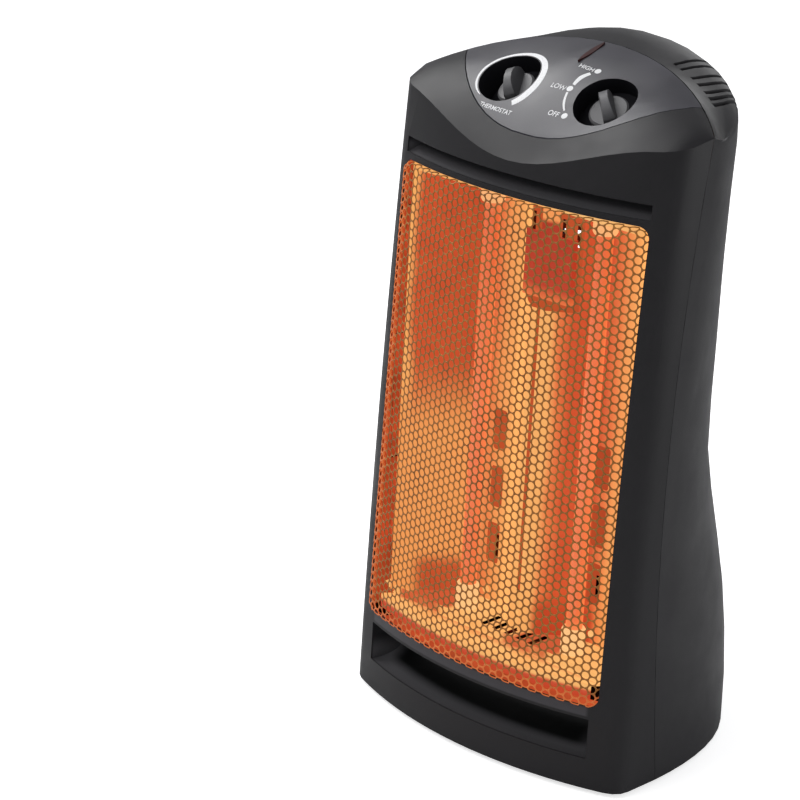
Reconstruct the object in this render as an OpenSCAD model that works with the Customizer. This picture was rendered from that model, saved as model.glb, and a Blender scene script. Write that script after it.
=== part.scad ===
// Quartz radiant heater: a free-standing tower with two upright quartz tubes
// behind a bowed honeycomb guard. Front faces -Y, +X is the user's right, +Z is up.

/* [Body] */
// Overall width, across the parting line of the two housings
body_w = 298; // [280:1:330]
// Overall depth, from the bowed guard to the tail of the base
body_d = 263; // [250:1:300]
// Height of the two front corners of the control deck
corner_h = 524; // [500:1:600]
// Height of the rubber feet under the base
foot_h = 4; // [3:0.5:8]
// Wall thickness of the moulded housings
wall = 2.6; // [2:0.1:3.5]
// Gap left along the parting line and round the control panel
seam_gap = 0.4; // [0.2:0.1:1]

/* [Front face] */
// Width of the front between its two soft upright edges, at the top
front_w = 284.4; // [270:0.2:290]
// How much each front edge spreads outwards at the floor
base_flare = 6.3; // [2:0.1:8]
// Radius of the bowed front seen from above
front_r = 365; // [330:5:450]
// How far the top of the front leans back
front_lean = 18.5; // [10:0.5:25]
// Softness of the two upright front edges
edge_r = 12; // [8:1:16]

/* [Deck and seam] */
// Dip of the front ridge at the middle of the deck
ridge_dip = 31; // [15:1:40]
// Height of the shoulders where both housings meet
seam_h = 533; // [505:1:610]
// Rise of the arched seam above the shoulders
seam_rise = 39.4; // [25:0.2:50]
// Run of the arched seam towards the rear
seam_run = 48.6; // [30:0.2:60]
// Crown of the deck above a straight line from ridge to seam
deck_bulge = 12.6; // [4:0.1:16]
// Slope of the deck, in degrees
deck_slope = 37; // [30:1:42]
// Depth of the cove in front of the rear crown
cove_h = 5; // [0:0.5:8]

/* [Rear housing] */
// Setback of the parting line from the middle of the depth, at floor and shoulder
part_set = 51.3; // [45:0.1:60]
// How far the parting line bows forward at the waist
part_waist = 20.3; // [10:0.1:30]
// Height at which the tail of the base runs out into the back
tail_h = 280; // [220:1:300]
// How far the tail stands out behind the back
tail_d = 57; // [40:1:66]
// Half width of the flat of the back
back_w = 120; // [105:1:128]
// The same half width above the tail
waist_w = 98; // [85:1:110]
// Height of the rounded crown edge
crown_drop = 28; // [20:1:40]

/* [Guard] */
// Width of the honeycomb guard
guard_w = 254; // [230:1:258]
// Height of the honeycomb guard
guard_h = 390; // [350:1:395]
// Height of the guard's lower edge above the floor
guard_z = 76; // [74:0.5:84]
// How far the guard stands proud of the front
guard_proud = 4.2; // [2:0.2:6]
// Sheet thickness of the guard
guard_t = 1; // [0.8:0.1:1.5]
// Upright pitch of the honeycomb openings
hex_pitch = 18.8; // [18.8:0.2:26]
// Web between two openings
hex_web = 2.4; // [1.6:0.1:4]

/* [Controls] */
// Distance of each knob from the middle
knob_x = 49; // [44:1:52]
// Radius of the knob wells at the deck
well_r = 26; // [23:0.5:28]
// Depth of the knob wells
well_d = 18; // [14:1:20]
// Diameter of the knobs
knob_d = 32; // [26:1:36]
// Diameter of the control shafts
shaft_d = 6; // [5:0.5:6.5]
// Radial running fit of a shaft in its bush
shaft_fit = 0.1; // [0.05:0.01:0.2]

/* [Heating elements] */
// Distance of each quartz tube from the middle
tube_x = 59; // [54:1:64]
// Outer diameter of the quartz tubes
tube_d = 14; // [10:0.5:18]
// Wall thickness of the quartz tubes
tube_wall = 1.3; // [1:0.1:2]
// Sheet thickness of reflectors and brackets
sheet = 0.8; // [0.6:0.1:1.2]
// Outer diameter of the ceramic end caps
cap_d = 20; // [16:0.5:24]

/* [Hidden] */

$fn = 48;
black = [0.11, 0.11, 0.12];
deck_grey = [0.24, 0.24, 0.27];
knob_grey = [0.42, 0.42, 0.43];
steel = [0.72, 0.72, 0.7];
zinc = [0.62, 0.62, 0.6];
ember = [0.85, 0.42, 0.2];

half = body_w / 2;
nose_y = -body_d / 2 + 3.4;
part_back = -part_set;
seam_sag = norm([seam_run, seam_rise]);
seam_r = (half * half + seam_sag * seam_sag) / (2 * seam_sag);
deck_up = [0, -sin(deck_slope), cos(deck_slope)];

function mix(a, b, t) = a + (b - a) * t;
function clamp01(t) = min(1, max(0, t));
function smooth(t) = let (c = clamp01(t)) c * c * (3 - 2 * c);
function unit(v) = v / norm(v);
function bezier2(a, b, c, t) = a * pow(1 - t, 2) + b * 2 * t * (1 - t) + c * t * t;
function bezier3(a, b, c, d, t) =
    a * pow(1 - t, 3) + b * 3 * t * pow(1 - t, 2) + c * 3 * t * t * (1 - t) + d * pow(t, 3);
function bow(x) = front_r - sqrt(front_r * front_r - x * x);
function rise(z) = (z - foot_h) / (corner_h - foot_h);
function front_half(z) = front_w / 2 + base_flare * pow(clamp01(1 - rise(z)), 2);
function nose(z) = nose_y + front_lean * pow(rise(z), 2);
function front_y(x, z) = nose(z) + bow(x);
function part_y(z) =
    let (v = (z - foot_h) / (seam_h - foot_h)) part_back - part_waist * 4 * v * (1 - v);

// The arched seam between the deck and the rear crown, s from -1 to 1 across
function arch(s) = (sqrt(seam_r * seam_r - pow(half * s, 2)) - (seam_r - seam_sag)) / seam_sag;
function seam(s) = [half * s, part_back + seam_run * arch(s), seam_h + seam_rise * arch(s)];
function ridge_z(s) = corner_h - ridge_dip * (1 + cos(180 * s)) / 2;

// Columns of the front moulding, from the middle to the parting line: [kind, t]
arc_steps = 9;
edge_steps = 3;
side_steps = 2;
half_columns = concat(
    [for (i = [0:arc_steps]) [0, i / arc_steps]],
    [for (i = [1:edge_steps]) [1, i / edge_steps]],
    [for (i = [1:side_steps]) [2, i / side_steps]]);
last_column = len(half_columns) - 1;
front_columns = concat(
    [for (i = [last_column:-1:1]) concat([-1], half_columns[i])],
    [for (i = [0:last_column]) concat([1], half_columns[i])]);

function edge_end(h, z) =
    let (c = [h, front_y(h, z)], p = [half, part_y(z)]) c + unit(p - c) * edge_r;
// Plan position of a front column at height z
function front_xy(col, z) =
    let (h = front_half(z), a = h - edge_r, c = [h, front_y(h, z)],
        p = col[1] == 0 ? [a * col[2], front_y(a * col[2], z)]
          : col[1] == 1 ? bezier2([a, front_y(a, z)], c, edge_end(h, z), col[2])
          : mix(edge_end(h, z), [half, part_y(z)], col[2]))
    [col[0] * p[0], p[1]];
shoulder_start = 0.4;
function column_top(col) =
    let (h = front_half(corner_h), s = (h - edge_r) / h,
        shoulder = corner_h + (seam_h - corner_h) * shoulder_start)
    col[1] == 0 ? ridge_z(s * col[2])
    : col[1] == 1 ? mix(ridge_z(s), shoulder, col[2])
    : mix(shoulder, seam_h, col[2]);
// Place of a front column along the seam, kept a little short of the shoulder
seam_end = 0.995;
function column_seam(col) =
    let (a = (front_half(corner_h) - edge_r) / half,
        k = (col[1] - 1) * edge_steps + (col[1] == 1 ? col[2] * edge_steps : col[2] * side_steps))
    col[0] * (col[1] == 0 ? a * col[2] : mix(a, seam_end, k / (edge_steps + side_steps)));
function deck_point(top, s, t) =
    let (end = seam(s), cove = cove_h * sin(180 * min(1, abs(s) * 1.15)))
    mix(top, end - deck_up * cove, t)
    + deck_up * (deck_bulge * t * (1 - t) * (2 + 3.4 * t) * (1 - s * s) + cove * smooth((t - 0.78) / 0.22));

wall_rows = 11;
deck_rows = 9;
function column_line(col) =
    let (zt = column_top(col), pt = front_xy(col, zt), top = [pt[0], pt[1], zt])
    concat(
        [for (j = [0:wall_rows]) let (z = mix(foot_h, zt, j / wall_rows), p = front_xy(col, z))
            [p[0], p[1], z]],
        [for (j = [1:deck_rows]) deck_point(top, column_seam(col), j / deck_rows)]);
front_grid = [for (col = front_columns) column_line(col)];

// Rear moulding: v runs from the parting line (0) to the middle of the back (1)
waist_y = body_d / 2 - tail_d;
back_lean = 11;
function back_y(z) = let (lower = clamp01((z - 44) / (tail_h - 44)))
    waist_y + tail_d * pow(1 - pow(lower, 1.5), 1.25) - back_lean * smooth((z - tail_h - 20) / 230);
function rear_xy(v, z) =
    let (a = part_y(z) + seam_gap, d = back_y(z))
    bezier3([half, a], [half - 2, mix(a, d, 0.45)],
        [mix(back_w, waist_w, smooth((z - 110) / 160)), d], [0, d], v);
function crown_foot(v) = seam(rear_xy(v, seam_h - crown_drop)[0] / half)[2] - crown_drop;
back_rows = 12;
crown_rows = 7;
crown_rise = 6;
chord_gap = 0.6;
crown_power = 4.5;
crown_fall = 78;
function crown_point(v, side, w) =
    let (zf = crown_foot(v), p = rear_xy(v, zf), e = seam(seam_end * p[0] / half), c = cos(90 * w),
        lift = crown_rise * 4 * c * (1 - c) * (1 - pow(p[0] / crown_fall, 2)) * smooth(v * 3.4),
        z = zf + (e[2] + lift - zf) * pow(1 - pow(c, crown_power), 1 / crown_power),
        edge = part_y(min(z, seam_h)) + seam_gap, y = mix(e[1] + seam_gap + chord_gap, p[1], c))
    [side * mix(e[0], p[0], c), v == 0 ? edge + chord_gap * w : max(y, edge), z];
function rear_line(v, side) = concat(
    [for (j = [0:back_rows]) let (z = mix(foot_h, crown_foot(v), j / back_rows), p = rear_xy(v, z))
        [side * p[0], p[1], z]],
    [for (j = [1:crown_rows]) crown_point(v, side, j / crown_rows)]);
rear_steps = 13;
rear_grid = concat(
    [for (i = [0:rear_steps]) rear_line(i / rear_steps, 1)],
    [for (i = [rear_steps - 1:-1:0]) rear_line(i / rear_steps, -1)]);
// Moves a point of the rear housing inwards by d: to the middle, forwards away from the
// parting line and the seam, and down under the crown
shrink_run = 30;
shrink_drop = 93;
function rear_edge(x, z) = mix(part_y(z), seam(min(1, abs(x) / half))[1] + chord_gap,
    smooth((z - seam_h + 33) / 33)) + seam_gap;
function shrink(p, d) =
    let (x = p[0] * (1 - d / half), z = p[2] - d * smooth((p[2] - seam_h + shrink_drop) / shrink_drop),
        behind = p[1] - rear_edge(p[0], p[2]))
    [x, rear_edge(x, z) + behind - d * clamp01(behind / shrink_run), z];
function shrink_grid(g, d) = [for (line = g) [for (p = line) shrink(p, d)]];

// Normal of a grid of points, and the same grid set inwards by d
function grid_normal(g, a, b) =
    let (n = len(g) - 1, m = len(g[0]) - 1,
        along = g[min(n, a + 1)][b] - g[max(0, a - 1)][b],
        upward = g[a][min(m, b + 1)] - g[a][max(0, b - 1)])
    unit(cross(along, upward));
function inset_grid(g, d) = [for (a = [0:len(g) - 1]) [for (b = [0:len(g[0]) - 1])
    let (n = grid_normal(g, a, b),
        inward = a == 0 || a == len(g) - 1 ? [sign(g[a][b][0]), 0, 0]
            : b == len(g[0]) - 1 ? unit([n[0], 0, n[2]]) : n,
        p = g[a][b] - inward * d)
    b == 0 ? [p[0], p[1], g[a][b][2]] : p]];
function flat(g) = [for (line = g) for (p = line) p];
function patch(n, m, start, flip) = [for (a = [0:n - 2]) for (b = [0:m - 2])
    let (i = start + a * m + b, q = [i, i + 1, i + m + 1, i + m])
    for (t = [[q[0], q[1], q[2]], [q[0], q[2], q[3]]]) flip ? [t[0], t[2], t[1]] : t];
function strip(p, q, flip) = [for (i = [0:len(p) - 2])
    for (t = [[p[i], p[i + 1], q[i + 1]], [p[i], q[i + 1], q[i]]]) flip ? [t[0], t[2], t[1]] : t];

// Closed solid between two grids of the same size
module skin(outer, inner) {
    n = len(outer);
    m = len(outer[0]);
    k = n * m;
    low = [for (a = [0:n - 1]) a * m];
    high = [for (a = [0:n - 1]) a * m + m - 1];
    first = [for (b = [0:m - 1]) b];
    last = [for (b = [0:m - 1]) (n - 1) * m + b];
    polyhedron(concat(flat(outer), flat(inner)), concat(
        patch(n, m, 0, false), patch(n, m, k, true),
        strip(low, low + [for (a = low) k], false), strip(high, high + [for (a = high) k], true),
        strip(first, first + [for (b = first) k], true),
        strip(last, last + [for (b = last) k], false)), convexity = 8);
}

// The deck alone, as a layer between two depths under its surface
deck_grid = [for (line = front_grid) [for (j = [wall_rows:wall_rows + deck_rows]) line[j]]];
function lowered(g, d) = [for (line = g) [for (p = line) p - [0, 0, d / cos(deck_slope)]]];
module deck_layer(top, bottom) skin(lowered(deck_grid, top), lowered(deck_grid, bottom));

// Frame of the guard, which leans back in a straight line with the front
guard_mid = guard_z + guard_h / 2;
guard_lean = atan((nose(guard_z + guard_h) - nose(guard_z)) / guard_h);
guard_y = (nose(guard_z) + nose(guard_z + guard_h)) / 2 - guard_proud;
module on_guard() translate([0, guard_y, guard_mid]) rotate([-guard_lean, 0, 0]) children();
corner_round = 9;
module rounded(w, h, r) {
    square([w - 2 * r, h], center = true);
    square([w, h - 2 * r], center = true);
    for (x = [-1, 1]) for (y = [-1, 1]) translate([x * (w / 2 - r), y * (h / 2 - r)]) circle(r);
}
// A rounded upright outline, drawn through the guard from front to rear
module guard_prism(grow, depth, start = -20)
    translate([0, start + depth, 0]) rotate([90, 0, 0])
        linear_extrude(depth) rounded(guard_w + 2 * grow, guard_h + 2 * grow, corner_round + grow);
// A layer of the bowed front, between two distances behind the guard's face
module bowed_layer(near, far, h)
    translate([0, front_r, -h / 2]) linear_extrude(h) intersection() {
        difference() {
            circle(front_r - near, $fn = 360);
            circle(front_r - far, $fn = 360);
        }
        translate([0, -front_r + 40]) square([guard_w + 60, 120], center = true);
    }

// Frames of the two knobs: z along the shaft, out of the deck, x towards the user's right
well_tilt = 37;
well_roll = 7;
well_y = nose(corner_h) + 50.3;
well_z = corner_h + 17.5;
module at_knob(side) translate([side * knob_x, well_y, well_z])
    rotate([0, side * well_roll, 0]) rotate([well_tilt, 0, 0]) children();
floor_z = -well_d;

panel_front = nose(corner_h) + 14.7;
panel_side = 122;
panel_start = corner_h - 28;
// Outline of the control panel seen from above, open towards the arched seam
module panel_outline(grow) {
    curve = [for (i = [0:12]) bezier3([0, panel_front - grow], [50, panel_front - grow],
        [85 + grow, panel_front + 12.6 - grow], [panel_side + grow, part_back + 20.3], i / 12)];
    polygon(concat([for (i = [12:-1:1]) [-curve[i][0], curve[i][1]]], curve,
        [[panel_side + grow, 30], [-panel_side - grow, 30]]));
}
module panel_prism(grow = 0) translate([0, 0, panel_start]) linear_extrude(100) panel_outline(grow);

// Recesses of the front: the groove above the guard, and the scoop under it
groove_low = guard_z + guard_h + 4.7;
groove_h = 12.4;
groove_half = 127;
groove_d = 17;
scoop_low = 30;
scoop_high = guard_z - 12;
scoop_half = 121;
scoop_d = 34;
scoop_steps = 8;
scoop_mid = 50;
groove_mid = groove_low + 8;
skin_cover = 1.3;
// Sweeps a profile along the bow of the front, for a recess centred at height z
module front_sweep(z, width) translate([0, nose(z) + front_r, 0])
    rotate([0, 0, -90 - asin(width / front_r)])
        rotate_extrude(angle = 2 * asin(width / front_r), $fn = 360) children();
module groove_profile(grow, mouth) polygon([
    [front_r + mouth, groove_low - grow], [front_r - 2, groove_low - grow],
    [front_r - groove_d - grow, groove_low + 7 - grow],
    [front_r - groove_d - grow, groove_low + groove_h + grow],
    [front_r + mouth, groove_low + groove_h + grow]]);
module scoop_profile(grow, mouth) polygon(concat([[front_r + mouth, scoop_low - grow]],
    [for (i = [0:scoop_steps]) let (t = 90 * i / scoop_steps)
        [front_r - 2 - (scoop_d - 2 + grow) * sin(t), scoop_low - grow + 20 * (1 - cos(t))]],
    [[front_r - scoop_d - grow, scoop_high - 6 + grow],
     [front_r - scoop_d + 6 - grow, scoop_high + grow],
     [front_r + mouth, scoop_high + grow]]));

// Screw places shared by the housings, brackets and base plate
boss_r = 4.2;
screw_d = 3;
screw_hole = 3.4;
pilot = 2.6;
boss_x = 134;
tab_y = -70;
bracket_low = 86;
bracket_high = guard_z + guard_h - 4;
low_boss_z = bracket_low - 8;
high_boss_z = bracket_high + 16;
bracket_bosses = [for (s = [-1, 1]) for (z = [low_boss_z, high_boss_z]) [s * boss_x, z]];
plate_low = foot_h + 1;
plate_t = 3;
plate_top = plate_low + plate_t;
seat = 0.3;
front_base = [for (s = [-1, 1]) [s * 104, -91]];
rear_base = [for (s = [-1, 1]) for (v = [0.3, 0.66]) let (a = rear_xy(v - 0.02, 20),
    b = rear_xy(v + 0.02, 20), t = unit(b - a), p = rear_xy(v, 20) + (wall + 3.5) * [-t[1], t[0]])
        [s * p[0], p[1]]];
tongue_z = [190, 300, 410];
function tongue_x(z) = let (h = front_half(z), slope = (half - h) / (part_y(z) - front_y(h, z)))
    min(half - 5 * slope - wall + 0.6, half - wall - 0.9);
stud_z = [130, 300, 430];
stud_turn = 21;
stud_x = guard_w / 2 + 6;
module on_stud(side, z) on_guard() translate([side * stud_x, guard_proud + bow(stud_x) + wall + 1.4,
    z - guard_mid]) rotate([0, 0, side * stud_turn]) rotate([-90, 0, 0]) children();

module front_housing() color(black) difference() {
    union() {
        skin(front_grid, inset_grid(front_grid, wall));
        // Liners of the groove and of the scoop
        front_sweep(groove_mid, groove_half + wall) groove_profile(wall, -skin_cover);
        front_sweep(scoop_mid, scoop_half + wall) scoop_profile(wall, -skin_cover);
        // Posts for the two steel brackets
        for (p = bracket_bosses) let (y0 = front_y(p[0], p[1]) + 4)
            translate([p[0], y0, p[1]]) rotate([-90, 0, 0]) cylinder(r = boss_r, h = tab_y - y0);
        // Screw bosses for the base plate, under the scoop
        for (p = front_base) translate([p[0], p[1], plate_top + seat])
            cylinder(r = boss_r, h = 31 - plate_top);
        // Tongues that locate the rear housing
        for (s = [-1, 1]) for (z = tongue_z)
            translate([s * (tongue_x(z) - 1.2) - 1.2, part_y(z) - 8, z - 8]) cube([2.4, 15, 16]);
        // Studs for the guard
        for (s = [-1, 1]) for (z = stud_z) on_stud(s, z) translate([0, 0, -3.2]) cylinder(d = 3, h = 7.2);
    }
    on_guard() guard_prism(0.3, 80);
    front_sweep(groove_mid, groove_half) groove_profile(0, 8);
    front_sweep(scoop_mid, scoop_half) scoop_profile(0, 8);
    panel_prism(seam_gap);
    for (p = bracket_bosses) translate([p[0], tab_y - 12, p[1]])
        rotate([-90, 0, 0]) cylinder(d = pilot, h = 20);
    for (p = front_base) translate([p[0], p[1], 0]) cylinder(d = pilot, h = 22);
}

// Rear housing, with shoulder vents, louvres, a grip recess and screw posts
back_r = 211;
grip_half = 50;
grip_low = 486;
grip_high = 520;
grip_deep = 30;
vent_w = 3.2;
vent_x = [65, 73, 85, 93, 101, 107, 112.5];
vent_z = [576, 573, 570, 565, 560, 553, 547];
louvre_z = [for (i = [0:8]) 300 + 13 * i];
post_x = 60;
post_z = [250, 432];
post_r = 5.4;
shield_y = -20;
post_y = shield_y + sheet + 0.2;
inlet_z = 112;
inlet_tilt = atan((back_y(inlet_z - 8) - back_y(inlet_z + 8)) / 16);
inlet_d = 12;
function find_v(x, z, lo = 0, hi = 1, n = 14) =
    let (m = (lo + hi) / 2) n == 0 ? m
    : rear_xy(m, z)[0] > x ? find_v(x, z, m, hi, n - 1) : find_v(x, z, lo, m, n - 1);
function wall_y(x, z) = rear_xy(find_v(x, z), z)[1];
module rear_sweep(z, width) translate([0, back_y(z) - back_r, 0])
    rotate([0, 0, 90 - asin(width / back_r)])
        rotate_extrude(angle = 2 * asin(width / back_r), $fn = 240) children();
module at_inlet() translate([0, back_y(inlet_z), inlet_z]) rotate([-90 + inlet_tilt, 0, 0]) children();
module rear_housing() color(black) difference() {
    union() {
        skin(rear_grid, shrink_grid(rear_grid, wall));
        rear_sweep((grip_low + grip_high) / 2, grip_half + wall)
            translate([back_r - grip_deep - wall, grip_low - wall])
                square([grip_deep + wall - skin_cover, grip_high - grip_low + 2 * wall]);
        for (s = [-1, 1]) for (z = post_z) translate([s * post_x, post_y, z])
            rotate([-90, 0, 0]) cylinder(r = post_r, h = wall_y(post_x, z) - 1.8 - post_y);
        for (p = rear_base) translate([p[0], p[1], plate_top + seat])
            cylinder(r = boss_r, h = 22);
    }
    rear_sweep((grip_low + grip_high) / 2, grip_half)
        translate([back_r - grip_deep, grip_low]) square([grip_deep + 10, grip_high - grip_low]);
    for (s = [-1, 1]) for (i = [0:len(vent_x) - 1])
        translate([s * vent_x[i] - vent_w / 2, part_back + seam_run + 3 - i * 1.5, vent_z[i] - 14])
            cube([vent_w, 46, 40]);
    for (s = [-1, 1]) for (z = louvre_z) translate([s * 42 - 34, 20, z]) cube([68, 70, 4.5]);
    for (s = [-1, 1]) for (z = post_z) translate([s * post_x, post_y, z]) rotate([-90, 0, 0]) {
        translate([0, 0, -1]) cylinder(d = screw_hole, h = 10);
        translate([0, 0, 3]) cylinder(d = 7.4, h = 140);
    }
    for (p = rear_base) translate([p[0], p[1], 0]) cylinder(d = pilot, h = 24);
    at_inlet() translate([0, 0, -12]) cylinder(d = inlet_d, h = 30);
}

// Control panel: the inset deck with its two wells, resting under the front housing's edge
panel_t = wall + 0.8;
flange_gap = 0.5;
well_floor = 2.4;
bush_d = 9.4;
lens_len = 33;
lens_w = 5;
lens_slope = 19.4;
lens_mid = [0, part_back + 29.4, seam_h + 34.2];
module at_lens() translate(lens_mid) rotate([lens_slope, 0, 0]) children();
module vesica(length, width, grow) {
    r = (pow(length / 2, 2) + pow(width / 2, 2)) / width;
    intersection() {
        translate([r - width / 2, 0]) circle(r + grow, $fn = 180);
        translate([width / 2 - r, 0]) circle(r + grow, $fn = 180);
    }
}
module control_panel() color(deck_grey) difference() {
    union() {
        intersection() {
            deck_layer(0, panel_t);
            panel_prism(-seam_gap);
        }
        intersection() {
            deck_layer(wall + flange_gap, wall + flange_gap + 2.2);
            difference() {
                panel_prism(4);
                panel_prism(-7);
            }
        }
        intersection() {
            deck_layer(0.6, 60);
            for (s = [-1, 1]) at_knob(s) translate([0, 0, floor_z - well_floor])
                cylinder(r = well_r + 2, h = well_d + 20, $fn = 72);
        }
    }
    for (s = [-1, 1]) at_knob(s) {
        translate([0, 0, floor_z]) cylinder(r = well_r, h = well_d + 20, $fn = 72);
        translate([0, 0, floor_z - well_floor - 5]) cylinder(d = bush_d + 0.2, h = 12);
    }
    at_lens() translate([0, 0, -12]) linear_extrude(20) vesica(lens_len, lens_w, 0.15);
}

module base_outline() {
    f = inset_grid(front_grid, wall + 0.5);
    b = shrink_grid(rear_grid, wall + 1);
    polygon(concat([for (line = f) [line[0][0], line[0][1]]],
        [for (i = [1:len(b) - 2]) [b[i][0][0], b[i][0][1]]]));
}
pads = [[-131, -82], [131, -82], [-104, 60], [104, 60]];
tip_x = 66;
tip_y = 30;
tip_hole = 6.8;
terminal_x = [-62, -18];
module base_plate() color(black) difference() {
    union() {
        translate([0, 0, plate_low]) linear_extrude(plate_t) base_outline();
        // Guide of the tip-over plunger and two mounts for the terminal block
        translate([tip_x, tip_y, plate_low]) cylinder(d = 13, h = 9);
        for (x = terminal_x) translate([x, 40, plate_low]) cylinder(r = 4, h = plate_t + 5);
    }
    translate([tip_x, tip_y, 0]) cylinder(d = tip_hole, h = 30);
    for (p = concat(front_base, rear_base)) translate([p[0], p[1], 0]) cylinder(d = screw_hole, h = 12);
    for (p = pads) translate([p[0], p[1], 0]) cylinder(d = 6.2, h = 12);
    for (x = terminal_x) translate([x, 40, plate_top + 1]) cylinder(d = pilot, h = 10);
    for (i = [-3:3]) for (y = [-60, -18]) translate([i * 24 - 2.2, y, 0]) cube([4.4, 32, 12]);
}
module foot_pads() color([0.16, 0.16, 0.16]) for (p = pads) translate([p[0], p[1], 0]) {
    cylinder(r1 = 8, r2 = 9, h = 1);
    translate([0, 0, 1]) cylinder(r = 9, h = plate_low - 1);
    cylinder(d = 6, h = plate_top + 0.5);
    translate([0, 0, plate_top + 0.3]) cylinder(r1 = 3.6, r2 = 2.2, h = 2.4);
}

// Bowed guard: a sheet with six-sided openings, a rim bent back and side tabs on studs
hex_step = hex_pitch * sqrt(3) / 2;
rim = 3.2;
hex_r = (hex_pitch - hex_web) / sqrt(3);
cols = floor((guard_w / 2 - rim - hex_r) / hex_step);
function hex_rows(c) = let (n = floor((guard_h - 2 * rim) / hex_pitch)) abs(c) % 2 == 0 ? n : n - 1;
module guard_field() difference() {
    rounded(guard_w, guard_h, corner_round);
    for (c = [-cols:cols]) let (n = hex_rows(c)) for (i = [0:n - 1])
        translate([c * hex_step, (i - (n - 1) / 2) * hex_pitch]) circle(hex_r, $fn = 6);
}
flange_d = 10;
module guard() color(steel) difference() {
    on_guard() union() {
        intersection() {
            bowed_layer(0, guard_t, guard_h + 10);
            translate([0, 45, 0]) rotate([90, 0, 0]) linear_extrude(60) guard_field();
        }
        intersection() {
            bowed_layer(0.2, flange_d, guard_h + 10);
            difference() {
                guard_prism(0, 70);
                guard_prism(-guard_t, 70);
            }
        }
        for (s = [-1, 1]) for (z = stud_z)
            translate([s * guard_w / 2, guard_proud + bow(guard_w / 2) + wall + 1.9, z - guard_mid])
                rotate([0, 0, s * stud_turn]) translate([s > 0 ? -1 : -11, 0, -6]) cube([12, guard_t, 12]);
    }
    for (s = [-1, 1]) for (z = stud_z) on_stud(s, z) translate([0, 0, -4]) cylinder(d = 3.4, h = 10);
}
module guard_washers() color(zinc) for (s = [-1, 1]) for (z = stud_z) on_stud(s, z)
    translate([0, 0, 1.6]) difference() {
        cylinder(d = 8, h = 0.6);
        translate([0, 0, -1]) cylinder(d = 3.1, h = 3);
    }

// Knobs: a round foot with an arched grip across it
thermostat_turn = 114;
power_turn = 138;
knob_low = floor_z + 3.4;
module knob(turn) rotate([0, 0, turn]) difference() {
    union() {
        translate([0, 0, knob_low]) cylinder(d = knob_d, h = 4.4, $fn = 72);
        translate([0, 0, knob_low + 4.4]) cylinder(d1 = knob_d, d2 = knob_d - 3, h = 1.4, $fn = 72);
        intersection() {
            translate([0, 0, knob_low + 2]) cylinder(d = knob_d - 0.6, h = 30, $fn = 72);
            rotate([90, 0, 0]) linear_extrude(20, center = true) polygon(concat(
                [[-knob_d / 2, knob_low], [knob_d / 2, knob_low]],
                [for (i = [0:10]) let (t = 18 * i) [knob_d / 2 * cos(t), -8 + 13 * sin(t)]]));
            rotate([90, 0, 90]) linear_extrude(40, center = true)
                polygon([[-6, knob_low], [6, knob_low], [5.2, -6], [3, 5], [-3, 5], [-5.2, -6]]);
        }
    }
    translate([0, 0, knob_low - 1]) cylinder(d = shaft_d + 0.1, h = 11);
}
module thermostat_knob() color(knob_grey) at_knob(-1) knob(thermostat_turn);
module power_knob() color(knob_grey) at_knob(1) knob(power_turn);

// Shafts, bushes and bodies behind the wells
body_top = floor_z - well_floor - 0.2;
module shaft() difference() {
    translate([0, 0, body_top - 12]) cylinder(d = shaft_d, h = knob_low + 9 - body_top + 12);
    translate([shaft_d / 2 - 1, -5, knob_low + 1]) cube([5, 10, 20]);
}
module thermostat_shaft() color(zinc) at_knob(-1) shaft();
module power_shaft() color(zinc) at_knob(1) shaft();
module bushed_body(w, h, deep, pins) difference() {
    union() {
        translate([-w / 2, -h / 2, body_top - deep]) cube([w, h, deep]);
        translate([0, 0, body_top - 1]) cylinder(d = bush_d, h = 6.1);
        for (x = [-w / 4, w / 4]) translate([x - 2.4, -0.4, body_top - deep - pins])
            cube([4.8, 0.8, pins + 1]);
        children();
    }
    translate([0, 0, body_top - 12.5]) cylinder(d = shaft_d + 2 * shaft_fit, h = 30);
}
// Frame of the contact spring under the thermostat's plate
module contact_frame() translate([-14, -11, body_top - 18]) difference() {
    cube([28, 22, 10]);
    translate([4, -1, 2]) cube([20, 24, 5]);
}
module thermostat_body() color([0.8, 0.78, 0.7]) at_knob(-1) bushed_body(30, 24, 9, 16) contact_frame();
module power_switch_body() color([0.82, 0.8, 0.74]) at_knob(1) bushed_body(28, 26, 18, 7);
module bush_nuts() color(zinc) for (s = [-1, 1]) at_knob(s) translate([0, 0, floor_z]) difference() {
    union() {
        cylinder(d = 16, h = 0.6);
        translate([0, 0, 0.6]) cylinder(d = 14, h = 2.2, $fn = 6);
    }
    translate([0, 0, -1]) cylinder(d = bush_d, h = 6);
}
module indicator_lens() color([0.6, 0.08, 0.06]) at_lens() {
    translate([0, 0, -7]) linear_extrude(7.6) vesica(lens_len, lens_w, 0);
    translate([0, 0, -7.4]) linear_extrude(1.4) vesica(lens_len - 6, lens_w + 4, 0);
}
module indicator_lamp() color([0.9, 0.6, 0.4]) at_lens() {
    translate([0, 0, -19]) cylinder(d = 5, h = 8.5);
    translate([0, 0, -10.5]) sphere(d = 5.2);
    translate([-4, -5, -20]) cube([8, 10, 2.4]);
    for (x = [-1.4, 1.4]) translate([x, 0, -26]) cylinder(d = 0.8, h = 7);
}

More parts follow.
